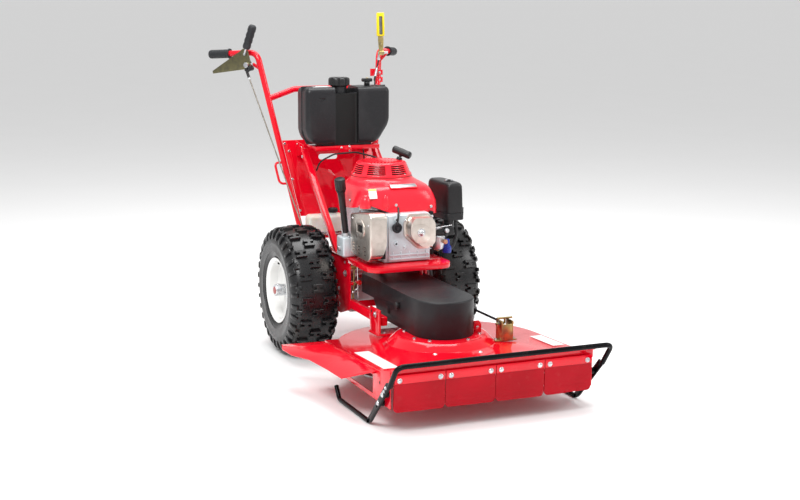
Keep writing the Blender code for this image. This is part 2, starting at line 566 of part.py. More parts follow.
def make_drive():
    shaft = pulley_profile(CRANK_PULLEY_R, 0.0125, 0.2260, 0.4100)
    node("crankshaft", lathe(shaft, (0, CRANK_Y, 0), (0, 0, 1), 28), STEEL, (0, CRANK_Y, BELT_Z))
    spindle = pulley_profile(SPINDLE_PULLEY_R, 0.0125, 0.1085, 0.2700)
    node("spindle", lathe(spindle, (0, SPINDLE_Y, 0), (0, 0, 1), 28), STEEL, (0, SPINDLE_Y, BELT_Z))
    loops = []
    for spare in (0.0012, BELT_T):
        near, far = CRANK_PULLEY_R - 0.010 + spare, SPINDLE_PULLEY_R - 0.010 + spare
        tilt = math.degrees(math.asin((far - near) / (CRANK_Y - SPINDLE_Y)))
        loops.append(arc(0, CRANK_Y, near, -tilt, 180 + tilt, 14) + arc(0, SPINDLE_Y, far, 180 + tilt, 360 - tilt, 20))
    ring = prism(loops[1], "Z", BELT_Z - BELT_H / 2, BELT_Z + BELT_H / 2)
    hole = prism(loops[0], "Z", BELT_Z - BELT_H, BELT_Z + BELT_H)
    node("drive_belt", combine(ring, cuts=[hole]), RUBBER)
    housing = [(0.1300, 0.0135), (0.1300, 0.0330), (0.1870, 0.0330), (0.1870, 0.0600), (0.1930, 0.0600),
               (0.1950, 0.0330), (0.2280, 0.0280), (0.2280, 0.0135)]
    node("spindle_housing", lathe(housing, (0, SPINDLE_Y, 0), (0, 0, 1), 28), CAST)
    pivot, tip = Vector((0.075, -0.300, 0.2780)), Vector((0.0735, -0.240, 0.2780))
    arm = box(0.062, 0.0865, -0.312, -0.230, 0.2760, 0.2800, 0.0, 1)
    boss = cylinder((pivot.x, pivot.y, 0.286), (0, 0, 1), 0.0105, 0.018, 18)
    horn = box(0.080, 0.0935, -0.262, -0.248, 0.2760, 0.2800)
    bolt = cylinder((tip.x, tip.y, 0.2625), (0, 0, 1), 0.0040, 0.031, 12)
    bore = cylinder((pivot.x, pivot.y, 0.290), (0, 0, 1), 0.0066, 0.06, 18)
    node("idler_arm", combine(arm, [boss, horn, bolt], [bore]), PAINT, pivot)
    roller = [(0.2370, 0.0044), (0.2370, 0.0180), (0.2395, 0.0180), (0.2400, 0.0165), (0.2510, 0.0165),
              (0.2515, 0.0180), (0.2540, 0.0180), (0.2540, 0.0044)]
    node("idler_pulley", lathe(roller, (tip.x, tip.y, 0), (0, 0, 1), 20), STEEL, (tip.x, tip.y, BELT_Z))


def make_blade():
    low = BLADE_Z
    bar = prism([(-BLADE_R + 0.004, -BLADE_W / 2), (BLADE_R - 0.02, -BLADE_W / 2), (BLADE_R - 0.001, -0.012),
                 (BLADE_R - 0.004, BLADE_W / 2), (-BLADE_R + 0.02, BLADE_W / 2), (-BLADE_R + 0.001, 0.012)],
                "Z", low, low + 0.008, Matrix.Translation((0, SPINDLE_Y, 0)) @ Matrix.Rotation(0.35, 4, "Z"))
    washer = cylinder((0, SPINDLE_Y, low - 0.002), (0, 0, 1), 0.030, 0.006, 24)
    bolt = cylinder((0, SPINDLE_Y, low - 0.008), (0, 0, 1), 0.012, 0.012, 6)
    node("blade", combine(bar, [washer, bolt]), STEEL, (0, SPINDLE_Y, low))


def cover_outline(radius, back):
    return [(radius, back)] + [(-radius, back)] + arc(0, SPINDLE_Y, radius, 180, 360, 20)


def make_belt_cover():
    top, low = 0.3060, PLATFORM_TOP + 0.0005
    body = prism(cover_outline(0.101, -0.195), "Z", low, top)
    bm = bmesh.new()
    bm.from_mesh(body)
    edges = [e for e in bm.edges if all(abs(v.co.z - top) < 1e-6 for v in e.verts) and e.verts[0].co.y < -0.2]
    bmesh.ops.bevel(bm, geom=edges, offset=0.004, segments=1, profile=0.5, affect="EDGES", material=-1)
    body = finish(bm)
    hollow = prism(cover_outline(0.0985, -0.1), "Z", low - 0.02, top - 0.0025)
    rear = prism([(-0.420, 0.10), (-0.10, 0.10), (-0.10, 0.240), (-0.300, 0.240)], "X", -0.2, 0.2)
    notch = cylinder((-0.1, KNOB_Y, KNOB_Z), (1, 0, 0), 0.0036, 0.03, 12)
    stud_hole = cylinder((0.075, -0.300, top), (0, 0, 1), 0.0078, 0.02, 16)
    node("belt_cover", combine(body, cuts=[hollow, rear, notch, stud_hole]), SATIN)
    knob = [(0.0, 0), (0.0, 0.0030), (0.0085, 0.0030), (0.0085, 0.0100), (0.0170, 0.0120), (0.0200, 0.0105),
            (0.0210, 0)]
    node("cover_knob", lathe(knob, (-0.0930, KNOB_Y, KNOB_Z), (-1, 0, 0), 16), PLASTIC, (-0.106, KNOB_Y, KNOB_Z))


# ---- cutting deck ----
def deck_top(y):
    """Height of the deck's top plate, which falls slightly towards the rear."""
    return DECK_TOP - DECK_PITCH * (y - DECK_FRONT)


def deck_outline(half, front, inset=0.0, count=24):
    """Round behind the spindle, squared off on the discharge side, open at the front."""
    round_end = math.degrees(math.asin((CORNER_Y - inset - SPINDLE_Y) / half))
    return ([(half, front)] + arc(0, SPINDLE_Y, half, 0, 180 - round_end, count)
            + [(-half, CORNER_Y - inset), (-half, front)])


def make_deck():
    body = prism(deck_outline(DECK_HALF, LIP_Y), "Z", DECK_RIM, 0.230)
    hollow = prism(deck_outline(DECK_HALF - SHEET, -1.1, SHEET), "Z", 0.0, 0.300)
    above = [(-0.1, deck_top(-0.1)), (-0.1, 0.5), (-1.3, 0.5), (-1.3, 0.2616), (LIP_Y, LIP_Z), (DECK_FRONT, DECK_TOP)]
    low = [(y, z - SHEET) for y, z in above]
    roof = [low[0], (-0.1, 0.5), (-1.3, 0.5)] + low[3:]
    hollow = combine(hollow, cuts=[prism(roof, "X", -1, 1)])
    body = combine(body, cuts=[prism(above, "X", -2, 2), hollow])
    floor = deck_top(SPINDLE_Y) - 0.006
    disc = lathe([(floor - 0.004, 0.1330), (floor - 0.004, 0.1450), (floor + 0.0090, 0.1450), (PLATFORM_TOP, PLATFORM_R),
                  (PLATFORM_TOP, 0.0345), (PLATFORM_TOP - 0.0035, 0.0345), (PLATFORM_TOP - 0.0035, 0.1330)],
                 (0, SPINDLE_Y, 0), (0, 0, 1), 32)
    hole = cylinder((0, SPINDLE_Y, 0.16), (0, 0, 1), 0.1335, 0.06, 32)
    outlet = box(-0.40, -0.30, -0.870, -0.500, 0.0880, 0.1450)
    body = combine(body, cuts=[hole, outlet])
    node("deck_shell", combine(body, [disc]), PAINT)


def make_chute():
    inner = [(y, deck_top(y) - 0.0045) for y in (-0.462, -0.530, -0.600, -0.690, -0.780, -0.850, -0.906)]
    outer = [(-0.4490, -0.3640, 0.1250), (-0.4640, -0.4150, 0.1230), (-0.4570, -0.4900, 0.1220),
             (-0.4250, -0.5600, 0.1220), (-0.4110, -0.6900, 0.1210), (-0.4070, -0.7950, 0.1210),
             (-0.3480, -0.9040, 0.1630)]
    bm = bmesh.new()
    near = [bm.verts.new((-DECK_HALF - 0.0030, y, z)) for y, z in inner]
    far = [bm.verts.new(p) for p in outer]
    for i in range(len(near) - 1):
        bm.faces.new((near[i], near[i + 1], far[i + 1], far[i]))
    bmesh.ops.recalc_face_normals(bm, faces=bm.faces)
    mesh = bpy.data.meshes.new("sheet")
    bm.to_mesh(mesh)
    bm.free()
    holder = bpy.data.objects.new("sheet", mesh)
    bpy.context.scene.collection.objects.link(holder)
    solidify = holder.modifiers.new("Solidify", "SOLIDIFY")
    solidify.thickness, solidify.offset = SHEET, 0.0
    mesh = applied(holder)
    tabs = [box(-0.3455, -DECK_HALF - 0.0004, y, y + 0.03, deck_top(y) - 0.0150, deck_top(y) - 0.0050)
            for y in (-0.510, -0.890)]
    node("discharge_chute", combine(mesh, tabs), PAINT)


def make_front():
    half = 2 * FLAP_PITCH + 0.006
    leaf = box(-half, half, LIP_Y - 0.0065, LIP_Y - 0.0035, 0.1665, 0.1960)
    shelf = box(-half, half, LIP_Y - 0.0200, LIP_Y - 0.0036, 0.1930, 0.1960)
    back = box(-half, half, LIP_Y - 0.0045, LIP_Y - 0.0003, 0.1720, 0.1860)
    node("front_angle", combine(leaf, [shelf, back]), PAINT)
    for i in range(4):
        middle = (i - 1.5) * FLAP_PITCH
        x0, x1, r = middle - FLAP_PITCH / 2 + FLAP_GAP / 2, middle + FLAP_PITCH / 2 - FLAP_GAP / 2, 0.012
        outline = ([(x1, FLAP_AXIS_Z + 0.002), (x0, FLAP_AXIS_Z + 0.002)]
                   + arc(x0 + r, FLAP_LOW + r, r, 180, 270, 4) + arc(x1 - r, FLAP_LOW + r, r, 270, 360, 4))
        flap = prism(outline, "Y", FLAP_Y - 0.0020, FLAP_Y + 0.0020)
        heads = [cylinder((middle + s * 0.065, FLAP_Y - 0.0035, 0.1615), (0, 1, 0), 0.0075, 0.0050, 14)
                 for s in (-1, 1)]
        node("flap_%d" % (i + 1), combine(flap, heads), PAINT, (middle, FLAP_Y, FLAP_AXIS_Z))


def make_guard():
    leg = Vector((0, 0.056, -0.0745)).normalized()
    corners = [Vector((s * GUARD_X, GUARD_Y, GUARD_Z)) for s in (-1, 1)]
    path = [corners[0] + leg * 0.088, corners[0], corners[1], corners[1] + leg * 0.088]
    node("guard_bar", tube(rounded(path, 0.026, 4), GUARD_R, 2), BLACK_PAINT)
    for side, name in ((-1, "right"), (1, "left")):
        low, high = sorted((side * 0.3460, side * 0.3570))
        outline = [(-1.0360, 0.1445), (-0.8930, 0.0060), (-0.8810, 0.0), (-0.6350, 0.0), (-0.6160, 0.0080),
                   (-0.6010, 0.0420), (-0.6150, 0.0480), (-0.6290, 0.0170), (-0.8730, 0.0170),
                   (-1.0190, 0.1600)]
        arm = prism(outline, "X", low, high)
        stand = sorted((side * (DECK_HALF + 0.0003), side * 0.3470))
        bosses = [cylinder(((stand[0] + stand[1]) / 2, y, z), (1, 0, 0), 0.0100, stand[1] - stand[0], 16)
                  for y, z in ((-0.9910, 0.1180), (-0.9570, 0.0840))]
        node("skid_" + name, combine(arm, bosses), BLACK_PAINT)


def make_coupler():
    front, back = -0.486, -0.402
    sole = [(front, deck_top(front) + 0.0004), (back, deck_top(back) + 0.0004), (back, deck_top(back) + 0.0064),
            (front, deck_top(front) + 0.0064)]
    base = prism(sole, "X", -0.160, 0.160)
    lugs = [box(x, x + 0.006, front, back, deck_top(front) + 0.001, 0.2400) for x in (-0.156, 0.150)]
    slots = [box(x - 0.01, x + 0.02, -0.462, -0.440, 0.2120, 0.2290) for x in (-0.156, 0.150)]
    node("coupler", combine(base, lugs, slots), PAINT)


def make_stay():
    x, y = 0.186, -0.708
    low = deck_top(y - 0.024) + 0.0004
    wall = box(x - 0.021, x + 0.021, y - 0.022, y + 0.022, low, low + 0.066, 0.002, 1)
    gap = box(x - 0.016, x + 0.016, y - 0.03, y + 0.03, low + 0.004, low + 0.080)
    foot = box(x - 0.040, x + 0.036, y - 0.016, y + 0.016, low, low + 0.004)
    pin = cylinder((x, y, low + 0.054), (1, 0, 0), 0.0045, 0.062, 12)
    node("stay_bracket", combine(wall, [foot, pin], [gap]), GOLD_ZINC)
    start, end = Vector((x, y, low + 0.054)), Vector((0.1640, -0.4450, 0.2260))
    along = (end - start).normalized()
    rod = tube([start + along * 0.0052, end], 0.0040, 2)
    eye = cylinder(end, (1, 0, 0), 0.0080, 0.010, 14)
    node("stay_rod", combine(rod, [eye]), BLACK_PAINT)


def clear_scene():
    for obj in list(bpy.data.objects):
        bpy.data.objects.remove(obj)


clear_scene()
PAINT = material("gloss_red_paint", RED, 0.18)
ENGINE_PAINT = material("engine_red", ENGINE_RED, 0.22)
BLACK_PAINT = material("gloss_black_paint", BLACK, 0.25)
SATIN = material("satin_black", (0.020, 0.020, 0.022), 0.38)
WHITE = material("white_paint", (0.80, 0.80, 0.79), 0.30)
RUBBER = material("rubber", (0.020, 0.019, 0.018), 0.75)
GRIP = material("grip_rubber", (0.022, 0.022, 0.024), 0.60)
PLASTIC = material("black_plastic", (0.018, 0.018, 0.019), 0.50)
MILKY = material("milky_plastic", (0.78, 0.77, 0.70), 0.45)
YELLOW = material("yellow_vinyl", (0.80, 0.55, 0.02), 0.40)
CABLE = material("cable_black", (0.020, 0.020, 0.020), 0.50)
STEEL = material("zinc_steel", ZINC, 0.30, 1.0)
CAST = material("cast_alloy", ALLOY, 0.45, 1.0)
ALLOYS = material("bright_alloy", (0.62, 0.62, 0.62), 0.35, 1.0)
CHAMPAGNE = material("champagne_steel", (0.62, 0.56, 0.50), 0.32, 1.0)
OLIVE = material("olive_zinc", (0.30, 0.28, 0.16), 0.40, 0.8)
GOLD_ZINC = material("gold_zinc", GOLD, 0.32, 1.0)

for wheel_side, wheel_name in ((-1, "right"), (1, "left")):
    make_wheel(wheel_side, wheel_name)
make_transaxle()
make_frame()
make_engine_plate()
make_handlebar()
make_grips()
make_rear_panel()
make_tank_tray()
make_braces()
make_drive_lever()
make_control_rod()
make_blade_lever()
make_cables()
make_tank()
make_reservoir()
make_engine()
make_shroud()
make_intake()
make_drive()
make_blade()
make_belt_cover()
make_deck()
make_chute()
make_front()
make_guard()
make_coupler()
make_stay()
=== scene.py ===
"""Looks for the walk-behind brush mower: finishes, tread, castings, fasteners, camera and studio.

Every place is written in metres about the axle's centre on the ground, as the frame's own
parts are, and piece() moves the finished mesh to the frame.
"""

import json
import math
import random

import bmesh
import bpy
from mathutils import Matrix, Vector


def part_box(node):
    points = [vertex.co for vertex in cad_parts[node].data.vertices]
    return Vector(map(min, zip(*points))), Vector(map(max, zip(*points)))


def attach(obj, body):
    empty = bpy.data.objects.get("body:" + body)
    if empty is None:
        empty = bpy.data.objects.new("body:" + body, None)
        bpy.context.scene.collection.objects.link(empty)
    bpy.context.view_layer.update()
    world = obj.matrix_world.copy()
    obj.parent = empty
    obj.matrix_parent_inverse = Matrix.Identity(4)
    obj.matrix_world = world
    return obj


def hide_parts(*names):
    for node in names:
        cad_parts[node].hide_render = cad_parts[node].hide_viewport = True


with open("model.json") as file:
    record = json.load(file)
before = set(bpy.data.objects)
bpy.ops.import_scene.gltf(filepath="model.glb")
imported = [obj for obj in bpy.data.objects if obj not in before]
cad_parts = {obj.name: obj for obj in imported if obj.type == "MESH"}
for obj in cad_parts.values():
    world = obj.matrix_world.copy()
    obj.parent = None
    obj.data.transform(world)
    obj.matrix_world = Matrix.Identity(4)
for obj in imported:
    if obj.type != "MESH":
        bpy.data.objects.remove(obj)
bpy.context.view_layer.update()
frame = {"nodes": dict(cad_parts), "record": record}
nodes = frame["nodes"]
tyre_low, tyre_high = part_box("tyre_right")[0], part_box("tyre_left")[1]
AXLE = Vector(((tyre_low.x + tyre_high.x) / 2, (tyre_low.y + tyre_high.y) / 2, 0.0))

# ---- sizes shared with the frame ----
AXLE_Z, TYRE_X, TYRE_HALF, TYRE_R = 0.225, 0.268, 0.0855, 0.225
CRANK_Y, SPINDLE_Y = -0.122, -0.632
HANDLE_R = 0.0113
HANDLE_FOOT, HANDLE_TOP = Vector((0.1421, 0.3091, 0.3595)), Vector((0.2415, 0.494, 0.990))
GRIP_DIR = Vector((0.62, 0.78, -0.06)).normalized()
DECK_TOP, DECK_FRONT, DECK_PITCH = 0.170, -0.920, 0.0377
PLATFORM_TOP = 0.1865
FLAP_PITCH, FLAP_Y, FLAP_AXIS_Z, FLAP_LOW = 0.164, -1.0135, 0.1735, 0.064
SKID_BOLTS = ((-0.9910, 0.1180), (-0.9570, 0.0840))
TANK_NECK, BOTTLE_NECK = (-0.018, 0.2425), (-0.026, 0.288)
KNOB_Y, KNOB_Z = -0.516, 0.2580
X, Y, Z = Vector((1, 0, 0)), Vector((0, 1, 0)), Vector((0, 0, 1))
SIDES = ((-1, "right"), (1, "left"))

# ---- the handlebar's upper bend, and each lever's pivot with the direction of its pin ----
GRIP_CORNER = HANDLE_TOP + (HANDLE_TOP - HANDLE_FOOT).normalized() * 0.038
ACROSS = Vector((GRIP_DIR.y, GRIP_DIR.x, 0)).normalized()
LEVER = {-1: (Vector((-0.276, 0.518, 0.980)), ACROSS), 1: (Vector((0.2360, 0.4550, 1.0200)), X)}


# ---- shader building ----
class Wire:
    """One socket of a material's node tree. Arithmetic on it adds Math nodes."""

    def __init__(self, finish, socket):
        self.finish, self.socket = finish, socket

    def maths(self, operation, first, second):
        return self.finish.node("Math", {"operation": operation}, {0: first, 1: second})

    def __add__(self, other):
        return self.maths("ADD", self, other)

    def __radd__(self, other):
        return self.maths("ADD", other, self)

    def __mul__(self, other):
        return self.maths("MULTIPLY", self, other)

    def __rmul__(self, other):
        return self.maths("MULTIPLY", other, self)


class Finish:
    """A material with its Principled shader; node() is the one way to add any other node."""

    def __init__(self, name, **constants):
        self.material = bpy.data.materials.new(name)
        self.material.use_nodes = True
        self.tree = self.material.node_tree
        self.shader = self.tree.nodes["Principled BSDF"]
        for socket, value in constants.items():
            self.shader.inputs[socket.replace("_", " ").title().replace("Ior", "IOR")].default_value = value
        self.place = self.node("TexCoord", output="Object")

    def node(self, kind, settings=None, sockets=None, output=0):
        made = self.tree.nodes.new("ShaderNode" + kind)
        for name, value in (settings or {}).items():
            setattr(made, name, value)
        for name, value in (sockets or {}).items():
            self.plug(value, made.inputs[name])
        return Wire(self, made.outputs[output])

    def plug(self, value, socket):
        if isinstance(value, Wire):
            self.tree.links.new(value.socket, socket)
        else:
            socket.default_value = value

    def noise(self, scale, detail=3.0, where=None):
        return self.node("TexNoise", {}, {"Vector": where or self.place, "Scale": scale, "Detail": detail})

    def stretched(self, x, y, z):
        """Object coordinates scaled by axis, for a pattern drawn out along one of them."""
        return self.node("Mapping", {}, {"Vector": self.place, "Scale": (x, y, z)})

    def step(self, value, low, high):
        """0 below low, 1 above high, and a straight rise between them."""
        return self.node("MapRange", {}, {"Value": value, "From Min": low, "From Max": high})

    def mix(self, first, second, share):
        return self.node("Mix", {"data_type": "RGBA"}, {0: share, 6: first, 7: second}, output=2)

    def bump(self, height, strength, distance=0.001, under=None):
        sockets = {"Height": height, "Strength": strength, "Distance": distance}
        if under:
            sockets["Normal"] = under
        return self.node("Bump", {}, sockets)

    def colour(self, value):
        self.plug(value, self.shader.inputs["Base Color"])

    def roughness(self, value):
        self.plug(value, self.shader.inputs["Roughness"])

    def normal(self, value):
        self.plug(value, self.shader.inputs["Normal"])


def rgb(red, green, blue):
    """A linear colour with full cover."""
    return (red, green, blue, 1.0)


def gloss_paint(name, colour, dark, rough=0.06, shine=0.42, coat=0.12):
    """Powder coat or enamel: faint orange peel, uneven gloss and a little dust."""
    made = Finish(name, specular_ior_level=shine, coat_weight=coat, coat_roughness=0.04)
    patches = made.noise(5.0, 4.0)
    tint = made.mix(colour, dark, made.step(patches, 0.42, 0.68))
    dust = made.step(made.noise(38.0, 6.0), 0.60, 0.78) * 0.03
    made.colour(made.mix(tint, rgb(0.45, 0.33, 0.27), dust))
    made.roughness(made.step(patches, 0.3, 0.8) * 0.06 + rough + dust)
    made.normal(made.bump(made.noise(420.0, 2.0), 0.05, 0.0004))
    return made.material


def metal(name, colour, tint, rough, grain=600.0, lift=0.08, scratches=(1, 1, 1)):
    """Plated or rolled steel with fine grain, darker blotches and scratches along one axis."""
    made = Finish(name, metallic=1.0)
    blotch = made.step(made.noise(60.0, 5.0), 0.42, 0.66)
    made.colour(made.mix(colour, tint, blotch))
    lines = made.noise(grain, 3.0, made.stretched(*scratches))
    made.roughness(lines * 0.16 + blotch * 0.10 + (rough - 0.10))
    made.normal(made.bump(lines, lift, 0.0003))
    return made.material


def casting(name, colour, dark, rough=0.42, metal_share=0.75):
    """Sand-cast or painted alloy: pebbled skin with soot in the low places."""
    made = Finish(name, metallic=metal_share)
    skin = made.noise(900.0, 4.0)
    soot = made.step(made.noise(26.0, 6.0), 0.50, 0.75)
    made.colour(made.mix(colour, dark, soot * 0.55))
    made.roughness(skin * 0.2 + soot * 0.1 + (rough - 0.1))
    made.normal(made.bump(skin, 0.25, 0.0004))
    return made.material


def moulded(name, colour, worn, rough=0.5, pebble=1300.0, lift=0.35):
    """Textured black plastic or rubber with dusty, lighter patches."""
    made = Finish(name, specular_ior_level=0.34)
    cells = made.node("TexVoronoi", {}, {"Vector": made.place, "Scale": pebble})
    dusty = made.step(made.noise(14.0, 6.0), 0.48, 0.78)
    fine = made.step(made.noise(160.0, 4.0), 0.5, 0.8)
    made.colour(made.mix(made.mix(colour, worn, dusty * 0.5), worn, fine * 0.35))
    made.roughness(dusty * 0.12 + fine * 0.08 + (rough - 0.08))
    made.normal(made.bump(cells, lift, 0.0004))
    return made.material


def tyre_rubber():
    """Black rubber, shiny where it is new and brown with dry soil in places."""
    made = Finish("tyre_rubber", specular_ior_level=0.42)
    soil = made.step(made.noise(9.0, 8.0), 0.54, 0.74)
    fine = made.noise(210.0, 5.0)
    base = made.mix(rgb(0.005, 0.005, 0.006), rgb(0.016, 0.016, 0.017), made.step(fine, 0.35, 0.7))
    made.colour(made.mix(base, rgb(0.090, 0.066, 0.045), soil * made.step(fine, 0.35, 0.75) * 0.55))
    made.roughness(made.noise(30.0, 4.0) * 0.22 + soil * 0.2 + 0.16)
    made.normal(made.bump(fine, 0.22, 0.0008, made.bump(made.noise(1500.0, 2.0), 0.15, 0.0003)))
    return made.material


def milky_plastic():
    """Natural polyethylene: waxy, slightly see-through and yellowed at the bottom."""
    made = Finish("milky_plastic", subsurface_weight=0.35, subsurface_scale=0.01, transmission_weight=0.12)
    cloud = made.noise(18.0, 4.0)
    made.colour(made.mix(rgb(0.84, 0.83, 0.78), rgb(0.66, 0.60, 0.46), made.step(cloud, 0.45, 0.8)))
    made.roughness(cloud * 0.15 + 0.30)
    made.normal(made.bump(made.noise(500.0, 2.0), 0.06, 0.0005))
    return made.material


def label_film(name, colour, edge):
    """A plain adhesive label with no print on it."""
    made = Finish(name, coat_weight=0.3)
    made.colour(made.mix(colour, edge, made.step(made.noise(70.0, 3.0), 0.45, 0.8) * 0.5))
    made.roughness(made.noise(200.0, 2.0) * 0.1 + 0.25)
    return made.material


LEVER_GREY = metal("lever_grey", rgb(0.20, 0.20, 0.20), rgb(0.13, 0.13, 0.13), 0.45, 200.0)
RED = gloss_paint("red_powder_coat", rgb(0.74, 0.0020, 0.016), rgb(0.64, 0.0015, 0.012))
ENGINE_RED = gloss_paint("engine_red", rgb(0.84, 0.014, 0.032), rgb(0.76, 0.010, 0.026), 0.20)
# The flaps' red is the deck red painted darker: painted shade for their place under the guard.
FLAP_SHADED_RED = gloss_paint("flap_red", rgb(0.44, 0.0010, 0.010), rgb(0.34, 0.0008, 0.007), 0.10, 0.14, 0.02)
GLOSS_BLACK = gloss_paint("gloss_black", rgb(0.002, 0.002, 0.003), rgb(0.005, 0.005, 0.006), 0.14, 0.10, 0.05)
WHITE = gloss_paint("white_enamel", rgb(0.83, 0.83, 0.82), rgb(0.74, 0.73, 0.70), 0.18)
SATIN_BLACK = moulded("satin_black", rgb(0.010, 0.010, 0.012), rgb(0.018, 0.018, 0.019), 0.44, 1800.0, 0.12)
TANK_BLACK = moulded("tank_black", rgb(0.012, 0.012, 0.014), rgb(0.034, 0.034, 0.036), 0.42, 700.0, 0.30)
# A near-black copy of the tank plastic, used as painted shade inside the front recess.
TANK_SHADE = moulded("tank_recess_painted_shade", rgb(0.003, 0.003, 0.003), rgb(0.006, 0.006, 0.006), 0.50, 700.0,
                     0.30)
PLASTIC = moulded("black_plastic", rgb(0.012, 0.012, 0.013), rgb(0.030, 0.030, 0.031), 0.40, 1500.0, 0.20)
GRIP_RUBBER = moulded("grip_rubber", rgb(0.016, 0.017, 0.020), rgb(0.045, 0.045, 0.050), 0.55, 1700.0, 0.40)
# Near-black fill for holes, gaps and cavities: painted shade where the real part shows only shadow.
PAINTED_SHADE_FILL = moulded("painted_shade_fill", rgb(0.004, 0.004, 0.004), rgb(0.008, 0.008, 0.008), 0.85)
ZINC = metal("clear_zinc", rgb(0.72, 0.73, 0.74), rgb(0.46, 0.47, 0.50), 0.26)
ROD_ZINC = metal("rod_zinc", rgb(0.24, 0.22, 0.19), rgb(0.17, 0.15, 0.12), 0.38, 200.0)
GOLD_ZINC = metal("yellow_zinc", rgb(0.50, 0.38, 0.15), rgb(0.30, 0.25, 0.14), 0.32, 300.0)
OLIVE_ZINC = metal("olive_zinc", rgb(0.170, 0.155, 0.085), rgb(0.125, 0.118, 0.075), 0.40, 120.0, 0.04)
CHAMPAGNE = metal("champagne_steel", rgb(0.70, 0.63, 0.57), rgb(0.62, 0.56, 0.50), 0.32, 240.0, 0.04,
                  (1, 1, 8))
BARE_STEEL = metal("ground_steel", rgb(0.36, 0.36, 0.37), rgb(0.22, 0.20, 0.18), 0.34, 200.0, 0.2, (12, 1, 1))
ALLOY = casting("cast_alloy", rgb(0.62, 0.64, 0.66), rgb(0.26, 0.25, 0.24), 0.36)
BLOCK_ALLOY = casting("painted_block", rgb(0.60, 0.67, 0.71), rgb(0.42, 0.46, 0.48), 0.34, 0.35)
TYRE = tyre_rubber()
MILKY = milky_plastic()
YELLOW = moulded("yellow_vinyl", rgb(0.80, 0.62, 0.010), rgb(0.66, 0.50, 0.030), 0.32, 1500.0, 0.10)
RUBY = moulded("red_plastic", rgb(0.62, 0.010, 0.010), rgb(0.45, 0.02, 0.02), 0.35)
BLUE = moulded("blue_plastic", rgb(0.010, 0.030, 0.32), rgb(0.02, 0.05, 0.25), 0.30)
COPPER = metal("copper_gasket", rgb(0.62, 0.34, 0.22), rgb(0.40, 0.22, 0.15), 0.36)
AXLE_PAINT = gloss_paint("axle_end_paint", rgb(0.45, 0.02, 0.015), rgb(0.28, 0.03, 0.02), 0.30)
LABEL = label_film("white_label", rgb(0.80, 0.80, 0.80), rgb(0.70, 0.70, 0.70))
LABEL_YELLOW = label_film("yellow_label", rgb(0.80, 0.68, 0.20), rgb(0.75, 0.62, 0.18))
PLATE_FILM = metal("silver_plate", rgb(0.46, 0.46, 0.47), rgb(0.38, 0.38, 0.40), 0.34)


# ---- mesh building ----
def fresh(kind=None, **settings):
    """A new bmesh, with one of bmesh's own starting shapes if kind names it."""
    bm = bmesh.new()
    if kind:
        getattr(bmesh.ops, "create_" + kind)(bm, **settings)
    return bm


def moved(bm, matrix):
    """The shape after a transform; a mirror image has its faces turned the right way round."""
    bmesh.ops.transform(bm, matrix=matrix, verts=bm.verts)
    if matrix.determinant() < 0:
        bmesh.ops.reverse_faces(bm, faces=bm.faces)
    return bm


def to_axis(axis):
    """The turn that takes +Z to this axis."""
    return Vector(axis).to_track_quat("Z", "Y").to_matrix().to_4x4()


def joined(*shapes):
    """Several bmeshes as one, each keeping its own material numbers."""
    whole = bmesh.new()
    for shape in shapes:
        mesh = bpy.data.meshes.new("part")
        shape.to_mesh(mesh)
        shape.free()
        whole.from_mesh(mesh)
        bpy.data.meshes.remove(mesh)
    return whole


def painted(bm, number):
    """Gives every face one of the piece's materials."""
    for face in bm.faces:
        face.material_index = number
    return bm


def round_edges(bm, width, segments=2, angle=30.0, only=None):
    """Bevels the edges sharper than angle, or those of them that only() picks."""
    edges = [e for e in bm.edges if len(e.link_faces) == 2 and e.calc_face_angle(0) > math.radians(angle)]
    if only:
        edges = [e for e in edges if only(e)]
    bmesh.ops.bevel(bm, geom=edges, offset=width, segments=segments, profile=0.5, affect="EDGES",
                    material=-1, clamp_overlap=True)
    return bm


def spans(edge, axis):
    """How far an edge runs along one axis, which is 0 for x, 1 for y and 2 for z."""
    return abs(edge.verts[0].co[axis] - edge.verts[1].co[axis])


def round_corners(bm, axis, least, width, segments, clamp=True):
    """Rounds an outline's corners: bevels the edges that run further than least along the axis."""
    corners = [e for e in bm.edges if spans(e, axis) > least]
    bmesh.ops.bevel(bm, geom=corners, offset=width, segments=segments, profile=0.5, affect="EDGES",
                    material=-1, clamp_overlap=clamp)
    return bm


def block(x0, x1, y0, y1, z0, z1, width=0.0, segments=2):
    """A box between two planes on each axis; width softens its edges."""
    size = Matrix.Diagonal((x1 - x0, y1 - y0, z1 - z0, 1))
    middle = Matrix.Translation(((x0 + x1) / 2, (y0 + y1) / 2, (z0 + z1) / 2))
    bm = fresh("cube", size=1.0, matrix=middle @ size)
    return round_edges(bm, width, segments) if width else bm


def turned(profile, centre, axis, steps=48):
    """A profile of (distance along the axis, radius) spun a full turn."""
    bm = bmesh.new()
    ring = [bm.verts.new((radius, 0, along)) for along, radius in profile]
    edges = [bm.edges.new(pair) for pair in zip(ring, ring[1:])]
    bmesh.ops.spin(bm, geom=ring + edges, cent=(0, 0, 0), axis=(0, 0, 1), angle=2 * math.pi, steps=steps,
                   use_merge=True)
    bmesh.ops.remove_doubles(bm, verts=bm.verts, dist=1e-6)
    bmesh.ops.recalc_face_normals(bm, faces=bm.faces)
    return moved(bm, Matrix.Translation(centre) @ to_axis(axis))


def disc(centre, axis, radius, depth, width=0.0, steps=32):
    """A short cylinder with its middle at centre; width rounds its two rims."""
    half = depth / 2
    if not width:
        profile = [(-half, 0), (-half, radius), (half, radius), (half, 0)]
    else:
        profile = [(-half, 0), (-half, radius - width), (-half + width, radius), (half - width, radius),
                   (half, radius - width), (half, 0)]
    return turned(profile, centre, axis, steps)


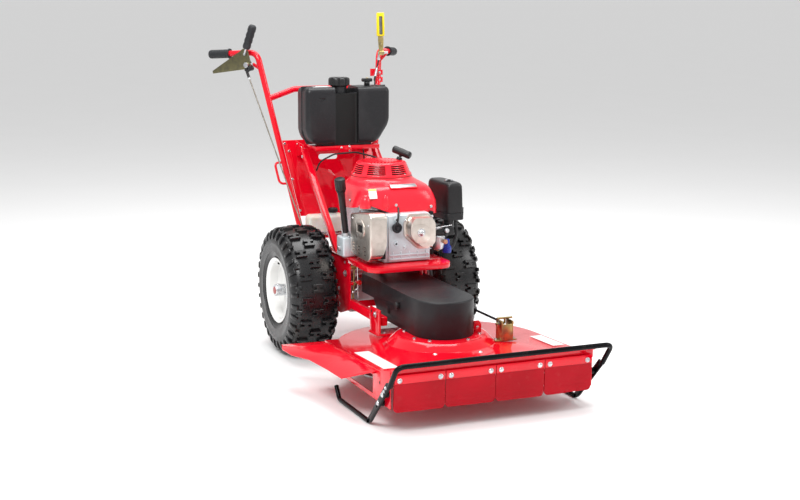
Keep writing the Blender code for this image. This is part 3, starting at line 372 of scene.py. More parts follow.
def sheet_cut(outline, axis, low, high, width=0.0, matrix=None):
    """A flat outline given thickness along an axis, with softened edges."""
    order = {"X": (2, 0, 1), "Y": (0, 2, 1), "Z": (0, 1, 2)}[axis]
    bm = bmesh.new()
    corners = []
    for point in outline:
        flat = (*point, low)
        corners.append(bm.verts.new([flat[i] for i in order]))
    face = bm.faces.new(corners)
    push = [0.0, 0.0, 0.0]
    push["XYZ".index(axis)] = high - low
    made = bmesh.ops.extrude_face_region(bm, geom=[face])["geom"]
    bmesh.ops.translate(bm, vec=push, verts=[v for v in made if isinstance(v, bmesh.types.BMVert)])
    bmesh.ops.recalc_face_normals(bm, faces=bm.faces)
    if width:
        round_edges(bm, width, 2)
    return moved(bm, matrix) if matrix else bm


def everything(bm):
    return bm.verts[:] + bm.edges[:] + bm.faces[:]


def sliced(bm, spot, normal, inner=False, outer=False):
    """Cuts the shape by a plane, drops the side behind it (inner) or ahead of it (outer), and closes it."""
    bmesh.ops.bisect_plane(bm, geom=everything(bm), plane_co=spot, plane_no=normal, clear_inner=inner,
                           clear_outer=outer)
    bmesh.ops.holes_fill(bm, edges=[e for e in bm.edges if e.is_boundary], sides=0)
    return bm


def arc(cx, cy, radius, start, end, steps):
    """Points on a circle between two angles in degrees."""
    turn = [math.radians(start + (end - start) * i / steps) for i in range(steps + 1)]
    return [(cx + radius * math.cos(a), cy + radius * math.sin(a)) for a in turn]


def round_path(points, radius, steps=8):
    """The path with every inner corner replaced by a smooth bend."""
    points = [Vector(p) for p in points]
    path = [points[0]]
    for before, here, after in zip(points, points[1:], points[2:]):
        a, b = (before - here).normalized(), (after - here).normalized()
        bend = a.angle(b)
        reach = min(radius / math.tan(bend / 2), (before - here).length * 0.49, (after - here).length * 0.49)
        start, end = here + a * reach, here + b * reach
        for i in range(steps + 1):
            t = i / steps
            path.append(start.lerp(here, t).lerp(here.lerp(end, t), t))
    path.append(points[-1])
    return path


def pipe(points, radius, sides=4):
    """A round bar or tube along the path; sides is a quarter of the facets round it."""
    curve = bpy.data.curves.new("path", "CURVE")
    curve.dimensions, curve.bevel_depth, curve.bevel_resolution = "3D", radius, sides
    curve.use_fill_caps = True
    spline = curve.splines.new("POLY")
    spline.points.add(len(points) - 1)
    for spot, point in zip(spline.points, points):
        spot.co = (*point, 1)
    holder = bpy.data.objects.new("path", curve)
    bpy.context.scene.collection.objects.link(holder)
    bpy.context.view_layer.update()
    mesh = bpy.data.meshes.new_from_object(holder.evaluated_get(bpy.context.evaluated_depsgraph_get()))
    bm = fresh()
    bm.from_mesh(mesh)
    bpy.data.objects.remove(holder)
    bpy.data.curves.remove(curve)
    bmesh.ops.remove_doubles(bm, verts=bm.verts, dist=1e-6)
    bmesh.ops.recalc_face_normals(bm, faces=bm.faces)
    return bm


def node_shape(node, width=0.0007, segments=2, angle=28.0):
    """The frame's own shape with merged faces and softened edges, about the axle."""
    bm = fresh()
    bm.from_mesh(nodes[node].data)
    moved(bm, Matrix.Translation(-AXLE))
    bmesh.ops.remove_doubles(bm, verts=bm.verts, dist=1e-5)
    bmesh.ops.dissolve_limit(bm, angle_limit=math.radians(0.6), verts=bm.verts, edges=bm.edges)
    if width:
        round_edges(bm, width, segments, angle)
    return bm


def piece(name, bm, body, looks, replaces=(), smooth=35.0):
    """The finished object, riding on its body."""
    mesh = bpy.data.meshes.new(name)
    moved(bm, Matrix.Translation(AXLE))
    bm.to_mesh(mesh)
    bm.free()
    mesh.shade_smooth()
    mesh.set_sharp_from_angle(angle=math.radians(smooth))
    made = bpy.data.objects.new(name, mesh)
    bpy.context.scene.collection.objects.link(made)
    for look in looks if isinstance(looks, (list, tuple)) else [looks]:
        mesh.materials.append(look)
    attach(made, body)
    if replaces:
        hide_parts(*replaces)
    return made


# ---- fasteners ----
def hex_bolt(spot, axis, size):
    """A flanged hex head standing on its seat; size is the thread's diameter."""
    flange = disc((0, 0, size * 0.10), Z, size * 1.10, size * 0.20, size * 0.05, 24)
    head = fresh("cone", cap_ends=True, segments=6, radius1=size * 0.92, radius2=size * 0.92,
                 depth=size * 0.6, matrix=Matrix.Translation((0, 0, size * 0.45)))
    round_edges(head, size * 0.06, 1)
    return moved(joined(flange, head), Matrix.Translation(spot) @ to_axis(axis))


def dome_bolt(spot, axis, size):
    """A carriage bolt's round head on a thin washer; size is the head's radius."""
    profile = [(0, size * 1.12), (size * 0.10, size * 1.12), (size * 0.12, size)]
    profile += [(size * (0.12 + 0.55 * math.sin(a)), size * math.cos(a)) for a in
                [math.radians(t) for t in (15, 30, 45, 60, 75)]]
    profile += [(size * 0.67, 0)]
    return turned([(0, 0)] + profile, spot, axis, 24)


def nut(spot, axis, size):
    """A hex nut with a little of its bolt's end showing."""
    body = fresh("cone", cap_ends=True, segments=6, radius1=size * 0.95, radius2=size * 0.95,
                 depth=size * 0.8, matrix=Matrix.Translation((0, 0, size * 0.4)))
    round_edges(body, size * 0.08, 1)
    end = disc((0, 0, size * 0.7), Z, size * 0.5, size * 0.9, size * 0.08, 20)
    return moved(joined(body, end), Matrix.Translation(spot) @ to_axis(axis))


def spring(start, end, radius, wire, turns, sides=2):
    """A coil spring between two points, with short straight ends."""
    start, end = Vector(start), Vector(end)
    along = (end - start).normalized()
    one = along.orthogonal().normalized()
    two = along.cross(one)
    points, steps = [start], turns * 10
    for i in range(steps + 1):
        a = 2 * math.pi * turns * i / steps
        spot = start.lerp(end, 0.06 + 0.88 * i / steps)
        points.append(spot + (one * math.cos(a) + two * math.sin(a)) * radius)
    return pipe(points + [end], wire, sides)


def cut(bm, *cutters):
    """The shape with each closed cutter taken out of it."""
    def holder(shape):
        mesh = bpy.data.meshes.new("cut")
        shape.to_mesh(mesh)
        shape.free()
        made = bpy.data.objects.new("cut", mesh)
        bpy.context.scene.collection.objects.link(made)
        return made

    body, tool = holder(bm), holder(joined(*cutters))
    modifier = body.modifiers.new("cut", "BOOLEAN")
    modifier.operation, modifier.solver, modifier.object = "DIFFERENCE", "EXACT", tool
    modifier.use_self = True
    bpy.context.view_layer.update()
    mesh = bpy.data.meshes.new_from_object(body.evaluated_get(bpy.context.evaluated_depsgraph_get()))
    done = fresh()
    done.from_mesh(mesh)
    for helper in (body, tool):
        bpy.data.objects.remove(helper)
    bmesh.ops.dissolve_limit(done, angle_limit=math.radians(0.2), verts=done.verts, edges=done.edges)
    return done


BODY_OF = {node: body for body, members in frame["record"]["behaviour"]["bodies"].items() for node in members}


def dress(node, look, width=0.0007, extra=(), smooth=35.0, cuts=()):
    """A frame part's own shape with soft edges; extra is (shape, look) pairs that belong to it."""
    shape = node_shape(node, 0.0 if cuts else width)
    if cuts:
        shape = round_edges(cut(shape, *cuts), width, 2, 28.0)
    shapes, looks = [shape], [look]
    for shape, finish in extra:
        if finish not in looks:
            looks.append(finish)
        shapes.append(painted(shape, looks.index(finish)))
    return piece(node + "_finished", joined(*shapes), BODY_OF[node], looks, [node], smooth)


def build(name, node, parts, smooth=35.0, replaces=True):
    """A new piece from (shape, look) pairs, standing for node unless replaces is off."""
    looks = []
    for shape, look in parts:
        if look not in looks:
            looks.append(look)
        painted(shape, looks.index(look))
    return piece(name, joined(*[shape for shape, _ in parts]), BODY_OF[node], looks,
                 [node] if replaces else (), smooth)


def fitted(name, node, parts, smooth=35.0):
    """Details that ride with node and leave its own piece shown."""
    return build(name, node, parts, smooth, replaces=False)


def deck_top(y):
    """Height of the deck's sloping top."""
    return DECK_TOP - DECK_PITCH * (y - DECK_FRONT)


def handle_at(z, side=1):
    """The point of a handlebar upright at this height."""
    spot = HANDLE_FOOT.lerp(HANDLE_TOP, (z - HANDLE_FOOT.z) / (HANDLE_TOP.z - HANDLE_FOOT.z))
    return Vector((spot.x * side, spot.y, spot.z))


# ---- wheels ----
TREAD_CROWN = ((0.0, 0.2250), (0.052, 0.2235), (0.076, 0.2090), (0.0845, 0.1850))


def crown(x):
    """Radius of the tread's outer surface at this distance from the tyre's middle."""
    x = abs(x)
    for (x0, r0), (x1, r1) in zip(TREAD_CROWN, TREAD_CROWN[1:]):
        if x <= x1:
            return r0 + (r1 - r0) * (x - x0) / (x1 - x0)
    return TREAD_CROWN[-1][1]


def tread_block(outline, lateral, depth=0.0125):
    """A flat outline of (across, along) raised from the carcass and wrapped onto the tread."""
    bm = sheet_cut([(x + lateral, s) for x, s in outline], "Z", -depth, 0.0)
    top = [e for e in bm.edges if all(v.co.z > -1e-6 for v in e.verts)]
    bmesh.ops.bevel(bm, geom=top, offset=0.0012, segments=1, profile=0.5, affect="EDGES", material=-1)
    for vert in bm.verts:
        x, s, h = vert.co
        r = crown(x) + h
        vert.co = (x, r * math.sin(s / TYRE_R), r * math.cos(s / TYRE_R))
    return bm


def bow_tie(half_width, half_length, waist=0.0060):
    """Two cross bars joined by a narrow web, as an outline."""
    w, s, i = half_width, half_length, half_length * 0.36
    return [(-w, -s), (w, -s), (w, -i), (waist, -i * 0.7), (waist, i * 0.7), (w, i), (w, s), (-w, s), (-w, i),
            (-waist, i * 0.7), (-waist, -i * 0.7), (-w, -i)]


def tyre(side, name):
    """A carcass with rim beads, three rows of bow ties and shoulder lugs, all welded into one piece."""
    wall = [(0.0675, 0.1052), (0.0705, 0.1150), (0.0765, 0.1205), (0.0800, 0.1290), (0.0812, 0.1345),
            (0.0825, 0.1350), (0.0832, 0.1375), (0.0830, 0.1400), (TYRE_HALF - 0.0012, 0.1560),
            (TYRE_HALF - 0.0002, 0.1640), (TYRE_HALF, 0.1660), (TYRE_HALF - 0.0002, 0.1680),
            (TYRE_HALF - 0.0012, 0.1760), (0.0815, 0.1860), (0.0745, 0.1985), (0.0650, 0.2060),
            (0.0500, 0.2115), (0.0250, 0.2137)]
    ring = [(-x, r) for x, r in wall] + [(0, 0.2145)] + wall[::-1] + [(-wall[0][0], wall[0][1])]
    carcass = turned(ring, (0, 0, 0), X, 96)
    count, stamps = 16, []
    for lateral, turn, outline in ((-0.039, 0, bow_tie(0.0190, 0.0145)), (0.0, 0.5, bow_tie(0.0180, 0.0145)),
                                   (0.039, 0, bow_tie(0.0190, 0.0145)),
                                   (-0.0655, 0.5, bow_tie(0.0080, 0.0125, 0.004)),
                                   (0.0655, 0.5, bow_tie(0.0080, 0.0125, 0.004))):
        for i in range(count):
            roll = Matrix.Rotation(2 * math.pi * (i + turn) / count, 4, "X")
            stamps.append(moved(tread_block(outline, lateral), roll))
    for mirror in (-1, 1):
        for i in range(2 * count):
            lug = sheet_cut([(0.0700, 0.2120), (0.0745, 0.2118), (0.0815, 0.2020), (0.0852, 0.1880),
                             (0.0855, 0.1800), (0.0800, 0.1800), (0.0700, 0.1980)], "Y", -0.0065, 0.0065,
                            0.0010)
            if mirror < 0:
                moved(lug, Matrix.Scale(-1, 4, X))
            stamps.append(moved(lug, Matrix.Rotation(2 * math.pi * (i + 0.5) / (2 * count), 4, "X")))
    whole = moved(joined(carcass, *stamps), Matrix.Translation((side * TYRE_X, 0, AXLE_Z)))
    build("tyre_%s_tread" % name, "tyre_" + name, [(whole, TYRE)], 38)


def rim(side, name):
    """A dished disc with its bolts and valve."""
    profile = [(0.3455, 0.1090), (0.3458, 0.1135), (0.3445, 0.1146), (0.3425, 0.1145), (0.3410, 0.1125),
               (0.3395, 0.1070), (0.3370, 0.1042), (0.3000, 0.1040), (0.1980, 0.1040), (0.1945, 0.1145),
               (0.1905, 0.1145), (0.1905, 0.1090), (0.1965, 0.1005), (0.3000, 0.1005), (0.2975, 0.0900),
               (0.2950, 0.0800), (0.2960, 0.0560), (0.2915, 0.0500), (0.2920, 0.0215), (0.2975, 0.0215),
               (0.2978, 0.0500), (0.3020, 0.0560), (0.3010, 0.0780), (0.3035, 0.0930), (0.3070, 0.1005),
               (0.3380, 0.1005), (0.3420, 0.1040), (0.3455, 0.1090)]
    shapes = [(turned(profile, (0, 0, AXLE_Z), (side, 0, 0), 96), WHITE)]
    for i in range(4):
        a = math.pi / 4 + math.pi / 2 * i
        spot = (side * 0.2975, 0.0380 * math.cos(a), AXLE_Z + 0.0380 * math.sin(a))
        shapes.append((hex_bolt(spot, (side, 0, 0), 0.0075), ZINC))
    stem = [(side * 0.3060, 0.030, AXLE_Z + 0.0900), (side * 0.3200, 0.030, AXLE_Z + 0.0890)]
    shapes.append((pipe(stem, 0.0055, 3), PLASTIC))
    shapes.append((disc((side * 0.3245, 0.030, AXLE_Z + 0.0888), X, 0.0040, 0.010, 0.0008, 16), PLASTIC))
    build("rim_%s_disc" % name, "rim_" + name, shapes, 40)


def hub(side, name):
    """The keyed sleeve on the axle, its set screw and the painted axle end."""
    profile = [(0.120, 0), (0.120, 0.0125), (0.270, 0.0125), (0.270, 0.030), (0.284, 0.030), (0.284, 0.050),
               (0.2912, 0.050), (0.2912, 0.0205), (0.3500, 0.0200), (0.3520, 0.0190), (0.3520, 0.0140)]
    end = [(0.3500, 0.0), (0.3532, 0.0), (0.3535, 0.0118), (0.3515, 0.0132), (0.3500, 0.0132), (0.3500, 0.0)]
    bore = [(0.3520, 0.0140), (0.3480, 0.0136), (0.3480, 0.0)]
    shapes = [(turned(profile + bore[1:], (0, 0, AXLE_Z), (side, 0, 0), 48), ZINC),
              (turned(end, (0, 0, AXLE_Z), (side, 0, 0), 36), AXLE_PAINT),
              (hex_bolt((side * 0.3400, 0, AXLE_Z + 0.0195), Z, 0.0042), ZINC),
              (disc((side * 0.3300, 0, AXLE_Z), X, 0.0212, 0.0030, 0.0008, 40), ZINC)]
    build("hub_%s_tube" % name, "hub_" + name, shapes)


for wheel_side, wheel_name in SIDES:
    tyre(wheel_side, wheel_name)
    rim(wheel_side, wheel_name)
    hub(wheel_side, wheel_name)


# ---- running gear and frame ----
def transaxle():
    """The casing with ribs, flanges, bolts and a filler plug."""
    extra = []
    for x in (-0.112, -0.104, 0.104, 0.112):
        extra.append((disc((x, 0, AXLE_Z), X, 0.0600, 0.004, 0.001, 48), ALLOY))
    for x in (-0.090, -0.080, 0.055, 0.065, 0.075, 0.085):
        extra.append((turned([(-0.0018, 0.054), (-0.0010, 0.0610), (0.0010, 0.0610), (0.0018, 0.054),
                              (-0.0018, 0.054)],
                             (x, 0, AXLE_Z), X, 48), ALLOY))
    for y, z in ((-0.060, 0.262), (0.085, 0.262), (-0.060, 0.182), (0.085, 0.182)):
        extra.append((hex_bolt((-0.0755, y, z), -X, 0.0055), ZINC))
    extra.append((turned([(0, 0.018), (0.003, 0.030), (0.006, 0.030), (0.008, 0.012), (0.008, 0.0), (0, 0.0),
                          (0, 0.018)], (-0.020, 0.050, 0.3005), Z, 36), ZINC))
    dress("transaxle", ALLOY, 0.0016, extra)


def drive_linkage():
    """Rods, spring and the red bypass knob in the gap ahead of the engine plate's side."""
    left = [(pipe([(-0.1360, -0.015, 0.345), (-0.1360, 0.010, 0.310), (-0.1360, 0.070, 0.286)], 0.0030),
             ROD_ZINC),
            (spring((-0.1330, -0.120, 0.300), (-0.1330, -0.030, 0.318), 0.0060, 0.0010, 14), ZINC),
            (pipe([(-0.1330, -0.178, 0.288), (-0.1330, -0.120, 0.300)], 0.0018), ZINC),
            (block(-0.1395, -0.1300, -0.036, -0.010, 0.305, 0.330, 0.0015), ROD_ZINC),
            (disc((-0.1390, -0.024, 0.318), X, 0.0065, 0.010, 0.001, 24), ZINC)]
    left += [(pipe([(-0.1280, -0.180, 0.215), (-0.1220, -0.178, 0.345)], 0.0032), GOLD_ZINC),
             (pipe([(-0.1130, -0.190, 0.215), (-0.1150, -0.188, 0.345)], 0.0026), ZINC),
             (block(-0.1390, -0.1040, -0.186, -0.182, 0.318, 0.332, 0.0010), GOLD_ZINC),
             (block(-0.1385, -0.1040, -0.186, -0.150, 0.262, 0.272, 0.0010), RED),
             (nut((-0.1240, -0.187, 0.2670), -Y, 0.0070), GOLD_ZINC),
             (disc((-0.1100, -0.192, 0.2720), Y, 0.0085, 0.010, 0.0010, 24), RUBY),
             (block(-0.1380, -0.1060, -0.176, -0.120, 0.166, 0.232, 0.0040), ALLOY),
             (spring((-0.1330, -0.186, 0.236), (-0.1080, -0.186, 0.252), 0.0050, 0.0009, 9), ZINC)]
    fitted("drive_linkage", "transaxle", left)
    knob = turned([(0, 0), (0, 0.006), (0.004, 0.009), (0.010, 0.009), (0.014, 0.006), (0.014, 0)],
                  (-0.1460, 0.030, 0.3180), -X, 24)
    fitted("bypass_knob", "main_frame", [(knob, RUBY)])


def main_frame():
    """The folded chassis with its bolts, and the plate that carries the engine."""
    bolts = []
    for side in (-1, 1):
        out = X * side
        for y, z in ((-0.0930, 0.2350), (0.0900, 0.2350), (-0.0930, 0.1800), (0.0900, 0.1800)):
            bolts.append((hex_bolt((side * 0.1450, y, z), out, 0.0060), ZINC))
        bolts.append((disc((side * 0.1465, -0.155, 0.300), X, 0.0115, 0.003, 0.0006, 32), ZINC))
        bolts.append((hex_bolt((side * 0.1480, -0.155, 0.300), out, 0.0072), ZINC))
        for y in (-0.150, 0.215, 0.300):
            bolts.append((hex_bolt((side * 0.1452, y, 0.3380), out, 0.0048), ZINC))
    dress("main_frame", RED, 0.0008, bolts)
    under = [(hex_bolt((x, y, 0.3615), Z, 0.0058), ZINC) for x in (-0.137, 0.137) for y in (-0.060, 0.012)]
    trim = [block(-0.20, 0.20, -0.50, 0.10, 0.3300, 0.3440)]
    dress("engine_plate", RED, 0.0010, under, cuts=trim)


def handlebar():
    """Bent uprights, the cross tube, the hand guard loop and the pins of both levers."""
    shapes = []
    for side in (-1, 1):
        flip = Vector((side, 1, 1))
        corner = GRIP_CORNER * flip
        along = GRIP_DIR * flip
        path = round_path([HANDLE_FOOT * flip, corner, corner + along * 0.186], 0.045, 14)
        shapes.append((pipe(path, HANDLE_R, 7), RED))
        x, y, _ = HANDLE_FOOT * flip
        shapes.append((block(x - 0.0135, x + 0.0135, y - 0.022, y + 0.016, 0.3552, 0.3590, 0.001), RED))
    for lift in (0.0, -0.028):
        spot = handle_at(0.945) + Vector((0, -0.0118, lift))
        x, y, z = spot
        shapes.append((block(x - 0.013, x + 0.013, y - 0.005, y + 0.0015, z - 0.010, z + 0.010, 0.0010), RED))
        shapes.append((hex_bolt(spot + Vector((0, -0.005, 0)), -Y, 0.0042), ZINC))
    low, high, lift = handle_at(0.855, -1), handle_at(0.855, 1), Vector((0, 0.008, 0.034))
    bar = round_path([low, low + Vector((0.105, 0, 0)) + lift, high - Vector((0.105, 0, 0)) + lift, high],
                     0.08, 10)
    shapes.append((pipe(bar, HANDLE_R, 7), RED))
    upper, lower, out = handle_at(0.622, -1), handle_at(0.545, -1), Vector((-0.036, 0.004, 0))
    shapes.append((pipe(round_path([upper, upper + out, lower + out, lower], 0.020, 10), 0.0045, 4), RED))
    x, y, z = handle_at(0.945, 1)
    shapes.append((block(x - 0.036, x, y - 0.010, y - 0.006, z - 0.014, z + 0.014, 0.001), RED))
    for side, reach in ((-1, 0.030), (1, 0.022)):
        spot, axis = LEVER[side]
        shapes.append((disc(spot + axis * (reach / 2 + 0.001), axis, 0.0050, reach + 0.008, 0.0005, 24),
                       ZINC))
        root = handle_at(0.965 if side < 0 else 0.985, side)
        shapes.append((pipe([spot + axis * reach, root], 0.0070, 4), RED))
        shapes.append((nut(spot - axis * 0.0032, -axis, 0.0078), ZINC))
    build("handlebar_tubes", "handlebar", shapes, 40)


def grips():
    """Rubber sleeves with a collar at the inner end and fine ribs along their length."""
    for side, name in SIDES:
        flip = Vector((side, 1, 1))
        axis = GRIP_DIR * flip
        start = GRIP_CORNER * flip + axis * 0.122
        profile = [(0, 0.0116), (0, 0.0185), (0.0012, 0.0193), (0.0040, 0.0193), (0.0055, 0.0178)]
        at = 0.0075
        while at < 0.084:
            profile += [(at, 0.0163), (at + 0.0028, 0.0166), (at + 0.0034, 0.0157), (at + 0.0044, 0.0157)]
            at += 0.0050
        profile += [(0.0885, 0.0160), (0.0912, 0.0150), (0.0928, 0.0125), (0.0934, 0.0095), (0.0934, 0)]
        sleeve = turned(profile, start, axis, 40)
        build("grip_%s_sleeve" % name, "grip_" + name, [(sleeve, GRIP_RUBBER)])


def panel_and_tray():
    """The folded sheets between the uprights, and the braces, with their bolts."""
    extra = []
    lean = math.atan2(HANDLE_TOP.y - HANDLE_FOOT.y, HANDLE_TOP.z - HANDLE_FOOT.z)
    normal = Vector((0, -math.cos(lean), math.sin(lean)))
    for side in (-1, 1):
        for z, inset in ((0.690, 0.020), (0.662, 0.030), (0.560, 0.016), (0.445, 0.016)):
            spot = handle_at(z, side) + Vector((-side * inset, 0, 0)) + normal * 0.0016
            extra.append((hex_bolt(spot, normal, 0.0042), ZINC))
        rib = [handle_at(z, side) + Vector((-side * 0.036, 0, 0)) + normal * 0.0008 for z in (0.430, 0.698)]
        extra.append((pipe(rib, 0.0016, 2), RED))
        for y, z in ((0.335, 0.682), (0.385, 0.690)):
            extra.append((hex_bolt((side * 0.1312, y, z), X * side, 0.0036), ZINC))
    outline = arc(-0.0360, 0.6370, 0.0100, 90, 270, 12) + arc(0.0200, 0.6370, 0.0100, -90, 90, 12)
    dress("rear_panel", RED, 0.0005, extra, cuts=[sheet_cut(outline, "Y", 0.370, 0.430)])
    straps = [(dome_bolt((x, 0.1985, z), -Y, 0.0046), ZINC) for x, z in ((-0.0258, 0.6915), (0.0052, 0.6945))]
    straps.append((hex_bolt((0.0052, 0.1985, 0.6800), -Y, 0.0040), ZINC))
    straps.append((block(-0.034, 0.014, 0.1966, 0.1992, 0.6760, 0.6985, 0.0006), RED))
    dress("tank_tray", RED, 0.0005, straps)
    for side, name in SIDES:
        ends = [(hex_bolt((side * 0.1400, -0.056, 0.3655), Z, 0.0050), ZINC),
                (hex_bolt((side * 0.1512, 0.270, 0.6560), X * side, 0.0050), ZINC)]
        dress("brace_" + name, RED, 0.0016, ends)


def drive_lever():
    """The plated lever with its hand grip, and the rod that hangs from it."""
    pivot, across = LEVER[-1]
    along = Z.cross(across)
    here = Matrix.Translation(pivot) @ Matrix((along, Z, across)).transposed().to_4x4()
    outline = [(-0.014, -0.010), (0.006, -0.016), (0.157, -0.038), (0.160, -0.028), (0.040, 0.046),
               (0.020, 0.060), (0.000, 0.060), (-0.014, 0.012)]
    foot, top = here @ Vector((0.008, 0.045, -0.013)), here @ Vector((-0.0335, 0.157, -0.013))
    axis = (top - foot).normalized()
    plate = [(sheet_cut(outline, "Z", -0.010, -0.006, 0.0010, here), OLIVE_ZINC),
             (disc(pivot - across * 0.006, across, 0.0100, 0.032, 0.0010, 40), ZINC),
             (disc(pivot + across * 0.0080, across, 0.0130, 0.0030, 0.0006, 40), ZINC),
             (disc(here @ Vector((-0.020, -0.012, -0.0150)), across, 0.0090, 0.0180, 0.0016, 32), PLASTIC),
             (pipe([here @ Vector((-0.030, -0.004, -0.0200)), here @ Vector((-0.006, -0.026, -0.0200))],
                   0.0050, 4),
              PLASTIC),
             (pipe([foot, foot + axis * 0.075], 0.0050, 5), ZINC),
             (nut(here @ Vector((0.010, 0.040, -0.0105)), -across, 0.0060), ZINC),
             (disc(here @ Vector((0.0, -0.018, -0.0120)), across, 0.0075, 0.0045, 0.0008, 30), PLASTIC)]
    build("drive_lever_plate", "drive_lever", plate)
    profile = [(0, 0.0054), (0, 0.0125), (0.0030, 0.0140), (0.0100, 0.0154), (0.0170, 0.0150),
               (0.0230, 0.0138), (0.0300, 0.0157), (0.0370, 0.0153), (0.0440, 0.0140), (0.0510, 0.0157),
               (0.0580, 0.0153), (0.0650, 0.0141), (0.0720, 0.0156), (0.0830, 0.0154), (0.0890, 0.0138),
               (0.0930, 0.0100), (0.094, 0)]
    sleeve = turned(profile, foot + axis * 0.017, axis, 36)
    build("drive_lever_handgrip", "drive_lever_grip", [(sleeve, GRIP_RUBBER)], 60)
    eye, end = here @ Vector((0.0, -0.018, -0.0165)), Vector((-0.1640, 0.150, 0.330))
    down = (end - eye).normalized()
    rod = [(pipe([eye, end], 0.0024, 5), ROD_ZINC), (disc(eye, across, 0.0065, 0.0065, 0.0008, 30), PLASTIC),
           (disc(eye + down * 0.020, down, 0.0052, 0.026, 0.0008, 24), PLASTIC),
           (nut(eye + down * 0.034, down, 0.0050), ZINC),
           (disc(end - down * 0.012, down, 0.0046, 0.022, 0.0008, 24), ZINC)]
    build("control_rod_rod", "control_rod", rod)


def blade_lever():
    """A flat bar in a vinyl sleeve that leaves the bar showing."""
    pivot = LEVER[1][0]
    x, y, z = pivot
    lean = Matrix.Translation(pivot) @ Matrix.Rotation(math.radians(-6), 4, "X")
    bar = sheet_cut([(-0.008, 0.004), (0.008, 0.004), (0.012, 0.050), (0.013, 0.148), (-0.008, 0.148),
                     (-0.010, 0.050)], "Y", -0.0025, 0.0025, 0.0007, lean)
    grey = sheet_cut([(-0.0072, 0.066), (0.0085, 0.066), (0.0100, 0.1470), (-0.0060, 0.1470)], "Y", -0.0029,
                     0.0029, 0.0, lean)
    parts = [(bar, GOLD_ZINC), (grey, LEVER_GREY), (disc(pivot, X, 0.0090, 0.022, 0.0010, 36), GOLD_ZINC),
             (block(x - 0.013, x - 0.007, y - 0.004, y + 0.004, z - 0.024, z - 0.006, 0.0008), ZINC),
             (disc((x - 0.010, y, z - 0.0225), X, 0.0052, 0.0105, 0.0006, 24), ZINC),
             (disc((x + 0.002, y, z + 0.030), Y, 0.0062, 0.0080, 0.0008, 24), GOLD_ZINC)]
    build("blade_lever_bar", "blade_lever", parts)
    outer = sheet_cut([(-0.0150, 0.064), (0.0160, 0.064), (0.0175, 0.154), (-0.0125, 0.154)], "Y", -0.0068,
                      0.0068, 0.0034, lean)
    slot = sheet_cut([(-0.0104, 0.050), (0.0124, 0.040), (0.0134, 0.1484), (-0.0104, 0.1484)], "Y", -0.0029,
                     0.0029, 0.0, lean)
    face = sheet_cut([(-0.0070, 0.070), (0.0080, 0.070), (0.0085, 0.140), (-0.0062, 0.140)], "Y", -0.0120,
                     -0.0028, 0.0, lean)
    build("blade_lever_handgrip", "blade_lever_grip", [(cut(outer, slot, face), YELLOW)], 50)


def cables():
    """Sheathed cables on their routes, with the ferrules at the top."""
    start = LEVER[1][0] + Vector((-0.010, 0, -0.0250))
    route = [start, (0.208, 0.446, 0.930), (0.196, 0.428, 0.850), (0.146, 0.378, 0.775),
             (0.112, 0.335, 0.690), (0.106, 0.285, 0.560), (0.106, 0.205, 0.440), (0.106, 0.110, 0.360),
             (0.106, 0.030, 0.328), (0.106, -0.160, 0.318), (0.104, -0.205, 0.2860)]
    top = (Vector(route[1]) - start).normalized()
    parts = [(pipe(round_path(route, 0.06, 10), 0.0028, 4), PLASTIC),
             (disc(start + top * 0.050, top, 0.0046, 0.034, 0.0010, 24), ZINC),
             (disc(start + top * 0.074, top, 0.0038, 0.020, 0.0010, 24), PLASTIC)]
    build("blade_cable_sheath", "blade_cable", parts)
    arch = [(-0.118, 0.212, 0.610), (-0.110, 0.196, 0.645), (-0.060, 0.180, 0.672), (0.020, 0.172, 0.676),
            (0.098, 0.152, 0.656), (0.116, 0.100, 0.610), (0.119, 0.080, 0.550), (0.116, 0.048, 0.490),
            (0.106, 0.032, 0.468)]
    build("throttle_cable_sheath", "throttle_cable", [(pipe(round_path(arch, 0.05, 10), 0.0030, 4), PLASTIC)])


transaxle()
drive_linkage()
main_frame()
handlebar()
grips()
panel_and_tray()
drive_lever()
blade_lever()
cables()


